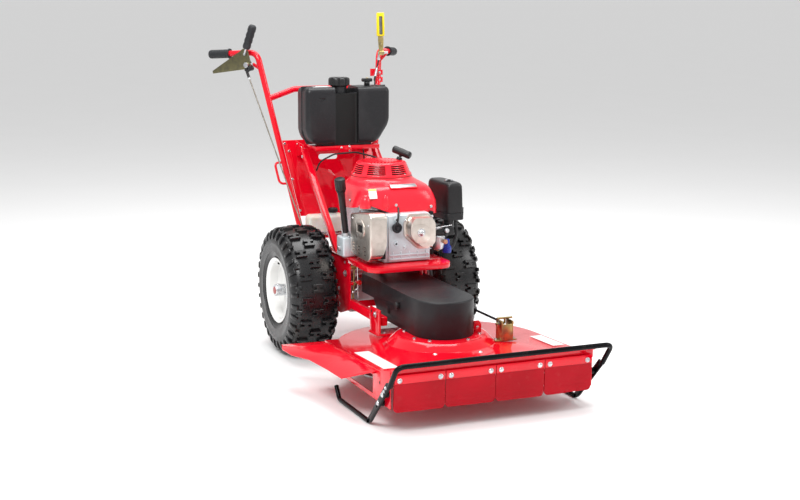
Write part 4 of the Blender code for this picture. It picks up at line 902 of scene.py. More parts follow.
# ---- fuel tank and reservoir ----
def fuel_tank():
    """A blow-moulded tank with a saddle round the neck, a seam and a recess whose faces carry painted shade.
    """
    outline = [(-0.138, 0.7065), (0.115, 0.7065), (0.163, 0.780), (0.163, 0.913), (-0.163, 0.913),
               (-0.163, 0.745)]
    body = sheet_cut(outline, "Y", 0.185, 0.300)
    round_corners(body, 1, 0.01, 0.020, 6, clamp=False)
    round_edges(body, 0.030, 8, 50, lambda e: spans(e, 1) < 1e-4)
    saddle = block(-0.053, 0.037, 0.10, 0.40, 0.889, 0.95, 0.006, 3)
    recess = block(-0.053, 0.037, 0.15, 0.203, 0.60, 0.95, 0.010, 4)
    slot = block(-0.118, -0.092, 0.170, 0.189, 0.868, 0.876, 0.002, 2)
    body = cut(body, saddle, recess, slot)
    round_edges(body, 0.0016, 2, 40)
    neck = turned([(0.880, 0), (0.880, 0.0275), (0.912, 0.0275), (0.9135, 0.026), (0.9135, 0)],
                  (*TANK_NECK, 0), Z, 40)
    foot = block(-0.095, 0.095, 0.205, 0.290, 0.6988, 0.712, 0.002)
    outlet = turned([(-0.015, 0), (-0.015, 0.0080), (0.004, 0.0080), (0.004, 0.0055), (0.009, 0.0062),
                     (0.012, 0.0045), (0.015, 0.0045), (0.015, 0)], (0.128, 0.240, 0.738), (0.7, 0, -0.7), 30)
    seam = sheet_cut([(-0.1455, 0.7040), (0.1165, 0.7040), (0.1648, 0.7785), (0.1648, 0.9145),
                      (0.110, 0.9145), (0.110, 0.9050), (-0.110, 0.9050), (-0.110, 0.9145), (-0.1648, 0.9145),
                      (-0.1648, 0.7440)],
                     "Y", 0.2413, 0.2437, 0.0004)
    parts = [(body, TANK_BLACK), (neck, TANK_BLACK), (foot, TANK_BLACK), (outlet, PLASTIC),
             (seam, TANK_BLACK)]
    tank = build("fuel_tank_moulding", "fuel_tank", parts, 40)
    # Faces inside the front recess take the painted shade material.
    tank.data.materials.append(TANK_SHADE)
    for face in tank.data.polygons:
        middle = face.center - AXLE
        if -0.054 < middle.x < 0.038 and middle.y < 0.2045:
            face.material_index = len(tank.data.materials) - 1
    top = block(-0.125, -0.058, 0.218, 0.258, 0.9130, 0.9134)
    fitted("tank_label", "fuel_tank", [(top, LABEL)])


def lobed_cap(name, node, centre, low, high, radius, lobes, depth):
    """A screw cap whose skirt is scalloped for the hand, with a domed top and a collar."""
    bm = turned([(low, 0), (low, radius * 0.82), (low + 0.003, radius * 0.86), (low + 0.004, radius),
                 (high - 0.010, radius), (high - 0.005, radius * 0.965), (high - 0.002, radius * 0.88),
                 (high - 0.0012, radius * 0.80), (high - 0.0026, radius * 0.76),
                 (high - 0.0022, radius * 0.40), (high, radius * 0.34), (high, 0)], (centre[0], centre[1], 0),
                Z, lobes * 10)
    for vert in bm.verts:
        out = Vector((vert.co.x - centre[0], vert.co.y - centre[1], 0))
        if out.length > radius * 0.9:
            turn = math.atan2(out.y, out.x)
            shrink = depth * max(0.0, -math.cos(lobes * turn)) ** 1.5
            vert.co -= out.normalized() * shrink
    return build(name, node, [(bm, PLASTIC)], 32)


def reservoir():
    """The milky bottle with its cap and strap."""
    body = block(-0.127, 0.014, 0.262, 0.322, 0.3560, 0.4340)
    round_edges(body, 0.014, 5)
    neck = turned([(0.4300, 0), (0.4300, 0.0150), (0.4440, 0.0150), (0.4440, 0)], (*BOTTLE_NECK, 0), Z, 36)
    build("reservoir_bottle", "reservoir", [(body, MILKY), (neck, MILKY)], 45)
    lobed_cap("reservoir_screw_cap", "reservoir_cap", BOTTLE_NECK, 0.4388, 0.4570, 0.0190, 20, 0.0008)
    strap = block(-0.1300, 0.0170, 0.2600, 0.3240, 0.3660, 0.3720, 0.0006)
    inner = block(-0.1275, 0.0145, 0.2618, 0.3222, 0.3600, 0.3800)
    fitted("reservoir_strap", "main_frame", [(cut(strap, inner), ZINC)])


def vent_fitting():
    """The valve beside the filler neck."""
    parts = [(disc((0.092, 0.2425, 0.9205), Z, 0.0105, 0.014, 0.0012, 36), PLASTIC),
             (block(0.0725, 0.1115, 0.2325, 0.2525, 0.9270, 0.9400, 0.0045, 4), PLASTIC),
             (disc((0.0790, 0.2425, 0.9335), X, 0.0060, 0.014, 0.0010, 24), PLASTIC),
             (disc((0.0920, 0.2425, 0.9405), Z, 0.0050, 0.003, 0.0006, 24), GOLD_ZINC)]
    build("vent_valve", "vent_fitting", parts, 45)


# ---- engine ----
def engine_block():
    """Crankcase, barrel with fins, sump flange, oil pad and their bolts."""
    low = 0.3617
    case = block(-0.100, 0.100, -0.250, 0.015, low, 0.5355, 0.012, 4)
    barrel = block(-0.0780, 0.088, -0.336, -0.245, low + 0.001, 0.5270, 0.006, 3)
    face = block(-0.0640, 0.0880, -0.3420, -0.3300, 0.3660, 0.5230, 0.003, 3)
    sump = turned([(0, 0), (0, 0.118), (0.016, 0.118), (0.022, 0.112), (0.024, 0.106), (0.024, 0)],
                  (0, CRANK_Y, low + 0.0002), Z, 72)
    pad = block(-0.168, -0.095, -0.190, -0.125, low + 0.001, 0.4320, 0.007, 3)
    parts = [(shape, BLOCK_ALLOY) for shape in (case, barrel, face, sump, pad)]
    for i in range(12):
        z = 0.4000 + 0.0098 * i
        parts.append((block(-0.0850, 0.0980, -0.332, -0.252, z, z + 0.0030, 0.0008, 1), BLOCK_ALLOY))
    for z in (0.3720, 0.3850):
        parts.append((block(-0.0600, 0.0850, -0.3445, -0.3400, z, z + 0.0060, 0.0018, 2), BLOCK_ALLOY))
    for x in (-0.050, -0.020, 0.010, 0.040, 0.070):
        parts.append((block(x, x + 0.0040, -0.3440, -0.3400, 0.3700, 0.4000, 0.0012, 2), BLOCK_ALLOY))
    for x, z in ((-0.0356, 0.5087), (-0.0369, 0.4272)):
        parts.append((turned([(0, 0.0038), (0, 0.0085), (0.004, 0.0075), (0.004, 0.0038), (0, 0.0038)],
                             (x, -0.3415, z), -Y, 28), BLOCK_ALLOY))
        # The near-black disc in each boss is painted shade inside the hole.
        parts.append((disc((x, -0.3418, z), Y, 0.0037, 0.0016, 0, 20), PAINTED_SHADE_FILL))
    parts.append((hex_bolt((-0.0048, -0.3418, 0.4140), -Y, 0.0060), ZINC))
    for x, y in ((-0.110, -0.075), (0.112, -0.060), (0.112, -0.190), (-0.090, 0.000), (0.090, 0.000)):
        parts.append((disc((x, y, low + 0.011), Z, 0.014, 0.020, 0.002, 32), BLOCK_ALLOY))
        parts.append((hex_bolt((x, y, low + 0.021), Z, 0.0055), ZINC))
    parts.append((hex_bolt((-0.1680, -0.158, 0.3900), -X, 0.0085), ZINC))
    parts.append((hex_bolt((-0.1450, -0.183, 0.4318), Z, 0.0050), ZINC))
    build("engine_castings", "engine_block", parts, 40)


def rocker_cover():
    """A pressed cover in three steps with a stud cap."""
    edge = [(-0.0017, 0.5133), (0.0080, 0.5265), (0.0820, 0.5250), (0.0950, 0.5090), (0.0990, 0.4943),
            (0.0985, 0.4246), (0.0808, 0.4057), (0.0398, 0.4067), (-0.0097, 0.4526), (-0.0120, 0.4950)]
    rim_plate = sheet_cut(edge, "Y", -0.3480, -0.3423)
    round_corners(rim_plate, 1, 0.003, 0.010, 5)
    round_edges(rim_plate, 0.0012, 2, 60)
    middle = Vector((sum(x for x, _ in edge) / len(edge), sum(z for _, z in edge) / len(edge)))
    inner = [tuple(middle + (Vector(point) - middle) * 0.88) for point in edge]
    dome = sheet_cut(inner, "Y", -0.3840, -0.3460)
    round_corners(dome, 1, 0.003, 0.017, 8)
    for vert in dome.verts:
        if vert.co.y < -0.38:
            vert.co.x = middle.x + (vert.co.x - middle.x) * 0.93
            vert.co.z = middle.y + (vert.co.z - middle.y) * 0.93
    round_edges(dome, 0.0095, 6, 50, lambda e: max(v.co.y for v in e.verts) < -0.38)
    plateau = [(-0.0017, 0.4976), (0.064, 0.4951), (0.0711, 0.4586), (0.0628, 0.4355), (0.0200, 0.4300),
               (-0.0012, 0.4600)]
    raised = sheet_cut(plateau, "Y", -0.3862, -0.3830)
    round_corners(raised, 1, 0.002, 0.016, 6)
    round_edges(raised, 0.0022, 4, 50)
    cap = turned([(0, 0), (0, 0.0150), (0.0022, 0.0140), (0.0026, 0.0105), (0.0052, 0.0098), (0.0080, 0.0060),
                  (0.0086, 0)], (0.036, -0.3862, 0.468), -Y, 40)
    parts = [(rim_plate, CHAMPAGNE), (dome, CHAMPAGNE), (raised, CHAMPAGNE), (cap, ZINC)]
    for x, z in ((0.0910, 0.4150), (0.0920, 0.5150), (-0.0060, 0.5060)):
        parts.append((hex_bolt((x, -0.3482, z), -Y, 0.0040), ZINC))
    build("rocker_cover_pressing", "rocker_cover", parts, 50)


def muffler():
    """The pressed guard with vent slots and an oval mouth."""
    shell = sheet_cut([(-0.388, 0.3950), (-0.360, 0.3760), (-0.262, 0.3760), (-0.205, 0.3800),
                       (-0.205, 0.5180), (-0.262, 0.5280), (-0.370, 0.5400), (-0.388, 0.5280)], "X", -0.1480,
                      -0.0870)
    round_corners(shell, 0, 0.02, 0.008, 4)
    round_edges(shell, 0.0060, 4, 60)
    slots = []
    for y0, z0, y1, z1 in ((-0.2273, 0.4214, -0.2444, 0.3989), (-0.2700, 0.4160, -0.2911, 0.3929),
                           (-0.3245, 0.4208, -0.3452, 0.3948)):
        for i in range(3):
            z = z0 + (z1 - z0) * i / 2
            slots.append(block(-0.160, -0.1440, y1 - 0.001, y0 + 0.001, z - 0.0022, z + 0.0022, 0.0012, 2))
    outlet = block(-0.165, -0.1380, -0.3200, -0.2710, 0.4660, 0.4925, 0.002, 2)
    behind = block(-0.1005, 0.05, -0.2530, -0.10, 0.3, 0.6)
    bulge = sheet_cut([(-0.0870, 0.4600), (-0.0905, 0.4300), (-0.1000, 0.4020), (-0.1180, 0.3780),
                       (-0.1180, 0.3600), (-0.0700, 0.3600), (-0.0700, 0.4600)], "Y", -0.400, -0.340)
    shell = cut(shell, outlet, behind, bulge, *slots)
    turns = [2 * math.pi * i / 40 for i in range(40)]
    oval = [(-0.2970 + 0.040 * math.cos(a), 0.4795 + 0.0325 * math.sin(a)) for a in turns]
    mouth = block(-0.165, -0.1380, -0.3195, -0.2715, 0.4665, 0.4920, 0.002, 2)
    boss = cut(sheet_cut(oval, "X", -0.1500, -0.1470), mouth)
    round_edges(boss, 0.0010, 2, 50)
    # The near-black blocks behind and beside the guard are painted shade for the gap in front of the block.
    parts = [(shell, CHAMPAGNE), (boss, CHAMPAGNE), (block(-0.1445, -0.0900, -0.3790, -0.2560, 0.3860,
                                                           0.5240), PAINTED_SHADE_FILL),
             (dome_bolt((-0.1481, -0.3693, 0.4982), -X, 0.0036), ZINC),
             (dome_bolt((-0.1481, -0.2250, 0.5050), -X, 0.0036), ZINC),
             (block(-0.0868, -0.0845, -0.330, -0.256, 0.395, 0.515, 0.0006), PAINTED_SHADE_FILL)]
    build("muffler_guard", "muffler", parts, 45)


def plug_and_lead():
    """The rubber boot on the plug and its ignition lead."""
    parts = [(turned([(-0.006, 0), (-0.006, 0.0120), (-0.003, 0.0165), (0.004, 0.0175), (0.007, 0.0160),
                      (0.007, 0.0115), (0.004, 0.0105), (0.004, 0.0060), (0.011, 0.0050), (0.011, 0)],
                     (-0.0400, -0.3560, 0.4840), -Y, 40), GRIP_RUBBER),
             (turned([(-0.012, 0), (-0.012, 0.0095), (0.000, 0.0110), (0.006, 0.0080), (0.006, 0)],
                     (-0.0420, -0.3520, 0.4860), -Y, 32), GRIP_RUBBER)]
    lead = round_path([(-0.042, -0.3620, 0.494), (-0.0400, -0.3640, 0.512), (-0.0340, -0.3560, 0.530),
                       (-0.0200, -0.3200, 0.545)], 0.02, 8)
    parts.append((pipe(lead, 0.0036, 4), PLASTIC))
    parts.append((disc((-0.0412, -0.3630, 0.4990), (0.1, 0, 1), 0.0058, 0.010, 0.001, 24), GRIP_RUBBER))
    build("plug_boot_and_lead", "plug_boot", parts, 45)


def oil_filler():
    """A long tube with a fluted cap."""
    foot, top = Vector((-0.1475, -0.1650, 0.4350)), Vector((-0.186, -0.204, 0.636))
    axis = (top - foot).normalized()
    tube = [(0, 0), (0, 0.0100), (0.020, 0.0105), (0.140, 0.0118), (0.158, 0.0130), (0.164, 0.0160),
            (0.166, 0.0160), (0.166, 0)]
    grip = turned([(0.1665, 0), (0.1665, 0.0150), (0.1700, 0.0182), (0.2030, 0.0190), (0.2075, 0.0182),
                   (0.2100, 0.0150), (0.2100, 0)], foot, axis, 96)
    for vert in grip.verts:
        along = (vert.co - foot).dot(axis)
        out = vert.co - foot - axis * along
        if out.length > 0.0172:
            side = axis.orthogonal().normalized()
            turn = math.atan2(out.dot(axis.cross(side)), out.dot(side))
            vert.co -= out.normalized() * 0.0014 * max(0.0, math.cos(12 * turn))
    base = turned([(-0.004, 0), (-0.004, 0.0150), (0.004, 0.0150), (0.006, 0.0135), (0.012, 0.0128),
                   (0.012, 0)],
                  foot, axis, 32)
    parts = [(turned(tube, foot, axis, 36), PLASTIC), (grip, PLASTIC), (base, ALLOY)]
    build("oil_filler_tube", "oil_filler", parts, 40)


def ring_of(cx, cy, half_x, half_y, z, power, count, back_y=None, back_power=None):
    """Points round a squared-off oval; a low power makes it squarer, and its back may differ."""
    spots = []
    for i in range(count):
        a = 2 * math.pi * (i + 0.5) / count
        c, s = math.cos(a), math.sin(a)
        behind = s > 0 and back_y is not None
        depth, bend = (back_y, back_power) if behind else (half_y, power)
        spots.append((cx + half_x * math.copysign(abs(c) ** bend, c),
                      cy + depth * math.copysign(abs(s) ** bend, s), z))
    return spots


def loft(rings, caps=True):
    """A skin bridged from each ring of points to the next."""
    bm = bmesh.new()
    loops = [[bm.verts.new(p) for p in ring] for ring in rings]
    for loop in loops:
        for a, b in zip(loop, loop[1:] + loop[:1]):
            bm.edges.new((a, b))
    for below, above in zip(loops, loops[1:]):
        around = [bm.edges.get((a, b)) for loop in (below, above) for a, b in zip(loop, loop[1:] + loop[:1])]
        bmesh.ops.bridge_loops(bm, edges=around)
    if caps:
        bmesh.ops.contextual_create(bm, geom=loops[0])
        bmesh.ops.contextual_create(bm, geom=loops[-1])
    bmesh.ops.recalc_face_normals(bm, faces=bm.faces)
    return bm


SHROUD_RINGS = ((0.1440, 0.1810, 0.5130, 0.36, 0.118, 0.90), (0.1440, 0.1810, 0.5360, 0.36, 0.118, 0.90),
                (0.1425, 0.1795, 0.5560, 0.36, 0.117, 0.90), (0.1395, 0.1750, 0.5760, 0.37, 0.1165, 0.90),
                (0.1355, 0.1685, 0.5930, 0.39, 0.116, 0.90), (0.1320, 0.1620, 0.6020, 0.42, 0.115, 0.90),
                (0.1290, 0.1560, 0.6070, 0.47, 0.114, 0.92), (0.1240, 0.1480, 0.6110, 0.55, 0.1125, 0.95),
                (0.1180, 0.1330, 0.6160, 0.75, 0.1110, 1.0), (0.1110, 0.1130, 0.6220, 0.95, 0.1100, 1.0),
                (0.1075, 0.1075, 0.6270, 1.0, 0.1075, 1.0), (0.1060, 0.1060, 0.6315, 1.0, 0.1060, 1.0))


def shroud_skin(wall):
    """The shroud's rings, drawn in by the wall's thickness; the skirt flares over the carburettor."""
    skin = []
    for half_x, half_y, z, power, back, bend in SHROUD_RINGS:
        flare = 0.0045 * max(0.0, min(1.0, (0.600 - z) / 0.040))
        drop = wall if z > 0.53 else 0.0
        skin.append(ring_of(flare, CRANK_Y, half_x + flare - wall, half_y - wall, z - drop, power, 120,
                            back - wall, bend))
    return skin


def engine_shroud():
    """The blower housing with stickers, bolts and the governor linkage under it."""
    shell = loft(shroud_skin(0.0) + shroud_skin(0.003)[::-1], caps=False)
    bmesh.ops.bridge_loops(shell, edges=[e for e in shell.edges if e.is_boundary])
    bmesh.ops.recalc_face_normals(shell, faces=shell.faces)
    front = sheet_cut([(-0.20, 0.49), (-0.20, 0.5636), (-0.147, 0.5636), (-0.118, 0.5600), (-0.107, 0.552),
                       (-0.060, 0.533), (-0.040, 0.5260), (-0.033, 0.5226), (0.024, 0.518), (0.062, 0.5220),
                       (0.075, 0.5165), (0.136, 0.514), (0.200, 0.514), (0.200, 0.49)], "Y", -0.36, -0.262)
    flank = sheet_cut([(-0.262, 0.49), (-0.262, 0.5480), (-0.250, 0.5430), (-0.200, 0.5350), (-0.130, 0.527),
                       (-0.050, 0.527), (0.050, 0.527), (0.050, 0.49)], "X", -0.20, -0.05)
    shell = cut(shell, front, flank)
    parts = [(shell, ENGINE_RED)]
    for spot, spread in (((-0.1240, -0.2830, 0.5560), (0.0200, 0.0210, 0.0340)),
                         ((-0.0560, -0.2950, 0.5570), (0.0130, 0.0110, 0.0300))):
        bulge = fresh("uvsphere", u_segments=32, v_segments=20, radius=1.0,
                      matrix=Matrix.Translation(spot) @ Matrix.Diagonal((*spread, 1)))
        floor = 0.5450 if spot[0] < -0.1 else 0.5370
        parts.append((sliced(bulge, (0, 0, floor), Z, inner=True), ENGINE_RED))
    slope = Matrix.Translation((0.017, -0.2755, 0.6118)) @ Matrix.Rotation(math.radians(24), 4, "X")
    parts.append((moved(block(-0.047, 0.047, -0.0105, 0.0105, -0.0010, 0.0018, 0.0006), slope), PLATE_FILM))
    parts.append((moved(block(-0.050, 0.050, -0.0135, 0.0135, -0.0020, 0.0010, 0.0008), slope), ENGINE_RED))
    sticker = Matrix.Translation((-0.1000, -0.2895, 0.5930)) @ Matrix.Rotation(math.radians(-24), 4, "X")
    parts.append((moved(block(-0.0140, 0.0140, -0.0010, 0.0006, -0.0180, 0.0090, 0.0002), sticker), LABEL))
    parts.append((moved(block(-0.0140, 0.0140, -0.0012, 0.0006, 0.0090, 0.0160, 0.0002), sticker),
                  LABEL_YELLOW))
    for x, y, z in ((-0.142, -0.190, 0.560), (0.142, -0.190, 0.560), (0.110, -0.300, 0.540),
                    (-0.020, -0.3015, 0.552)):
        out = -Y if y < -0.25 else Vector((math.copysign(1, x), 0, 0))
        parts.append((hex_bolt((x, y, z), out, 0.0046), ZINC))
    # The near-black disc under the starter cover is painted shade seen through its vents.
    parts.append((disc((0, CRANK_Y, 0.6305), Z, 0.1052, 0.0040, 0.0012, 96), PAINTED_SHADE_FILL))
    build("engine_shroud_pressing", "engine_shroud", parts, 32)
    bits = [(pipe(round_path([(-0.125, -0.286, 0.5480), (-0.090, -0.288, 0.5500), (-0.070, -0.288, 0.5380),
                              (-0.030, -0.288, 0.5330)], 0.008), 0.0013), ZINC),
            (spring((-0.118, -0.290, 0.5420), (-0.078, -0.290, 0.5380), 0.0035, 0.0007, 12), ZINC),
            (block(-0.140, -0.050, -0.272, -0.262, 0.5360, 0.5520, 0.001), ALLOY)]
    fitted("governor_linkage", "engine_block", bits)


def recoil_cover():
    """The vented starter cover, its pull handle and the rope guide."""
    profile = [(0.6324, 0), (0.6324, 0.1040), (0.6330, 0.1047), (0.6375, 0.1047), (0.6400, 0.1038),
               (0.6430, 0.1000), (0.6690, 0.0890), (0.6740, 0.0868), (0.6785, 0.0832), (0.6805, 0.0790),
               (0.6812, 0.0740), (0.6805, 0.0700), (0.6800, 0.0650), (0.6822, 0.0600), (0.6830, 0.0500),
               (0.6838, 0.0200), (0.6840, 0)]
    cover = turned(profile, (0, CRANK_Y, 0), Z, 120)
    cuts = []
    for group in range(7):
        for row in range(5):
            z = 0.6415 + 0.0064 * row
            slot = turned([(z, 0.0800), (z + 0.0044, 0.0800), (z + 0.0044, 0.1200), (z, 0.1200), (z, 0.0800)],
                          (0, 0, 0), Z, 48)
            wedge = math.radians(19.5)
            for sign in (-1, 1):
                sliced(slot, (0, 0, 0), (-math.sin(wedge), sign * math.cos(wedge), 0), outer=True)
            bmesh.ops.recalc_face_normals(slot, faces=slot.faces)
            turn = Matrix.Rotation(math.radians(-123 + 360 * group / 7), 4, "Z")
            cuts.append(moved(slot, Matrix.Translation((0, CRANK_Y, 0)) @ turn))
    for radius, count in ((0.024, 10), (0.036, 16), (0.048, 22)):
        for i in range(count):
            a = 2 * math.pi * i / count
            spot = (radius * math.cos(a), CRANK_Y + radius * math.sin(a), 0.6840)
            cuts.append(fresh("cone", cap_ends=True, segments=10, radius1=0.0027, radius2=0.0027, depth=0.012,
                              matrix=Matrix.Translation(spot)))
    for i in range(32):
        turn = Matrix.Rotation(2 * math.pi * i / 32, 4, "Z")
        slot = block(0.0560, 0.0735, -0.0034, 0.0034, 0.6740, 0.6900)
        cuts.append(moved(slot, Matrix.Translation((0, CRANK_Y, 0)) @ turn))
    cover = cut(cover, *cuts)
    # The near-black inside of the cover is painted shade.
    inside = turned([(0.634, 0), (0.634, 0.0930), (0.645, 0.0930), (0.662, 0.0850), (0.674, 0.0780),
                     (0.6770, 0.060), (0.6770, 0)], (0, CRANK_Y, 0), Z, 60)
    parts = [(cover, ENGINE_RED), (inside, PAINTED_SHADE_FILL)]
    for i in range(3):
        a = math.radians(-60 + 120 * i)
        spot = Vector((0.1010 * math.cos(a), CRANK_Y + 0.1010 * math.sin(a), 0.6400))
        parts.append((hex_bolt(spot, Z, 0.0036), ZINC))
    build("recoil_cover_pressing", "recoil_cover", parts, 32)
    bar, pull = Vector((0.62, -0.72, -0.31)).normalized(), Vector((0.35, -0.10, 0.93)).normalized()
    middle = Vector((0.078, -0.120, 0.7060))
    grip = turned([(-0.0350, 0), (-0.0350, 0.0090), (-0.0330, 0.0122), (-0.0290, 0.0132), (-0.0150, 0.0128),
                   (0.0, 0.0134), (0.0150, 0.0128), (0.0290, 0.0132), (0.0330, 0.0122), (0.0350, 0.0090),
                   (0.0350, 0)],
                  middle, bar, 36)
    stem = turned([(-0.0175, 0), (-0.0175, 0.0048), (-0.012, 0.0062), (0, 0.0075), (0, 0)], middle, pull, 28)
    build("starter_handgrip", "starter_handle", [(grip, PLASTIC), (stem, PLASTIC)], 45)
    guide = turned([(-0.0120, 0), (-0.0120, 0.0100), (-0.0040, 0.0100), (0.0000, 0.0088), (0.0, 0)],
                   middle - pull * 0.0185, pull, 32)
    fitted("starter_rope_guide", "recoil_cover", [(guide, PLASTIC)])


def intake():
    """The air cleaner, and the carburettor with its elbow, hose, linkage and filter."""
    def ring(hx, hy, z, power=0.32):
        return ring_of(0.222, -0.170, hx, hy, z, power, 72)

    body = loft([ring(0.0355, 0.0910, 0.4790), ring(0.0365, 0.0920, 0.4800), ring(0.0365, 0.0920, 0.4995),
                 ring(0.0360, 0.0915, 0.5005), ring(0.0335, 0.0890, 0.5010), ring(0.0332, 0.0887, 0.5040),
                 ring(0.0345, 0.0900, 0.5055), ring(0.0326, 0.0876, 0.5760), ring(0.0316, 0.0866, 0.5940),
                 ring(0.0304, 0.0854, 0.6000, 0.36), ring(0.0279, 0.0829, 0.6045, 0.40),
                 ring(0.0239, 0.0789, 0.6070, 0.45), ring(0.0190, 0.0740, 0.6078, 0.5)])
    dip = turned([(0.598, 0), (0.598, 0.0140), (0.604, 0.0165), (0.618, 0.0170), (0.618, 0)],
                 (0.222, -0.200, 0), Z, 40)
    body = cut(body, dip)
    parts = [(body, PLASTIC),
             (turned([(0.5975, 0), (0.5975, 0.0100), (0.6030, 0.0085), (0.6100, 0.0075), (0.6140, 0.0060),
                      (0.6150, 0)],
                     (0.222, -0.200, 0), Z, 30), PLASTIC),
             (block(0.2070, 0.2370, -0.2020, -0.1980, 0.6050, 0.6145, 0.0015), ZINC)]
    for y in (-0.235, -0.105):
        parts.append((block(0.2560, 0.2600, y - 0.008, y + 0.008, 0.4920, 0.5200, 0.0010), PLASTIC))
    build("air_cleaner_housing", "air_cleaner", parts, 35)
    x, y = 0.1500, -0.2700
    bowl = turned([(0.3830, 0), (0.3830, 0.0120), (0.3860, 0.0180), (0.3900, 0.0215), (0.4050, 0.0235),
                   (0.4260, 0.0240), (0.4280, 0.0262), (0.4320, 0.0262), (0.4340, 0.0240), (0.4340, 0)],
                  (x, y, 0), Z, 44)
    throat = turned([(-0.0395, 0), (-0.0395, 0.0180), (-0.032, 0.0200), (0.0250, 0.0200), (0.0280, 0.0235),
                     (0.0345, 0.0235), (0.0395, 0.0210), (0.0395, 0)], (0.1405, y, 0.445), X, 40)
    elbow = turned([(0.4300, 0), (0.4300, 0.0150), (0.4360, 0.0180), (0.4780, 0.0180), (0.4845, 0.0195),
                    (0.4845, 0)],
                   (0.205, -0.235, 0), Z, 36)
    tie = block(0.168, 0.205, -0.285, -0.230, 0.432, 0.460, 0.004, 3)
    # The near-black baffle is painted shade behind the carburettor.
    baffle = block(0.1010, 0.1150, -0.3120, -0.2520, 0.3750, 0.5250, 0.003)
    parts = [(bowl, ALLOY), (throat, PLASTIC), (elbow, PLASTIC), (tie, PLASTIC), (baffle, PAINTED_SHADE_FILL),
             (hex_bolt((x, y, 0.3830), -Z, 0.0060), GOLD_ZINC),
             (turned([(0, 0), (0, 0.0080), (0.012, 0.0080), (0.013, 0.0060), (0.013, 0)],
                     (0.1630, -0.2945, 0.4150), -Y, 28),
              COPPER),
             (disc((0.1720, -0.2960, 0.4520), Y, 0.0075, 0.010, 0.001, 28), ALLOY),
             (turned([(0, 0), (0, 0.0150), (0.003, 0.0165), (0.020, 0.0165), (0.026, 0.0110), (0.046, 0.0100),
                      (0.048, 0.0080), (0.048, 0)], (0.1800, -0.2780, 0.3720), Z, 36), BLUE),
             (pipe(round_path([(0.2260, -0.2500, 0.4750), (0.2250, -0.2620, 0.4350),
                               (0.2100, -0.2700, 0.3950), (0.1980, -0.2720, 0.3820)], 0.02), 0.0052, 4),
              PLASTIC),
             (pipe([(0.1200, -0.292, 0.4620), (0.1900, -0.296, 0.4700)], 0.0014), ZINC),
             (spring((0.1250, -0.2930, 0.4560), (0.1550, -0.2950, 0.4650), 0.0030, 0.0006, 10), ZINC)]
    build("carburettor_castings", "carburettor", parts, 40)


fuel_tank()
lobed_cap("fuel_filler_cap", "fuel_cap", TANK_NECK, 0.9143, 0.9465, 0.0400, 8, 0.0055)
reservoir()
vent_fitting()
engine_block()
rocker_cover()
muffler()
plug_and_lead()
oil_filler()
engine_shroud()
recoil_cover()
intake()


# ---- belt drive, blade and cover ----
def belt_drive():
    """Pulleys, belt, idler, spindle, blade, and the cover over them."""
    for node, look, slot in (("crankshaft", BARE_STEEL, "zinc_steel"), ("spindle", BARE_STEEL, "zinc_steel"),
                             ("idler_pulley", ZINC, "zinc_steel"), ("drive_belt", GRIP_RUBBER, "rubber"),
                             ("idler_arm", RED, "red_paint"), ("spindle_housing", ALLOY, "cast_alloy")):
        dress(node, look, 0.0005)
    dress("blade", BARE_STEEL, 0.0010)
    cover = [(hex_bolt((0.075, -0.300, 0.3065), Z, 0.0052), ZINC)]
    for side in (-1, 1):
        cover.append((block(side * 0.1010 - 0.0012, side * 0.1010 + 0.0012, -0.440, -0.415, 0.2150, 0.2400,
                            0.0008),
                      SATIN_BLACK))
    dress("belt_cover", SATIN_BLACK, 0.0016, cover)
    stem = turned([(0, 0), (0, 0.0030), (0.0085, 0.0030), (0.0085, 0.0072), (0.0095, 0.0090),
                   (0.0110, 0.0112), (0.0170, 0.0120), (0.0195, 0.0112), (0.0205, 0.0085), (0.0200, 0.0060),
                   (0.0210, 0.0050), (0.0210, 0)], (-0.0930, KNOB_Y, KNOB_Z), -X, 96)
    for vert in stem.verts:
        dy, dz = vert.co.y - KNOB_Y, vert.co.z - KNOB_Z
        if math.hypot(dy, dz) > 0.0088:
            shrink = 1 - 0.10 * max(0.0, math.cos(8 * math.atan2(dz, dy)))
            vert.co.y, vert.co.z = KNOB_Y + dy * shrink, KNOB_Z + dz * shrink
    cap = disc((-0.1022, KNOB_Y, KNOB_Z), X, 0.0070, 0.0016, 0, 28)
    build("cover_knob_head", "cover_knob", [(stem, PLASTIC), (cap, ZINC)], 40)


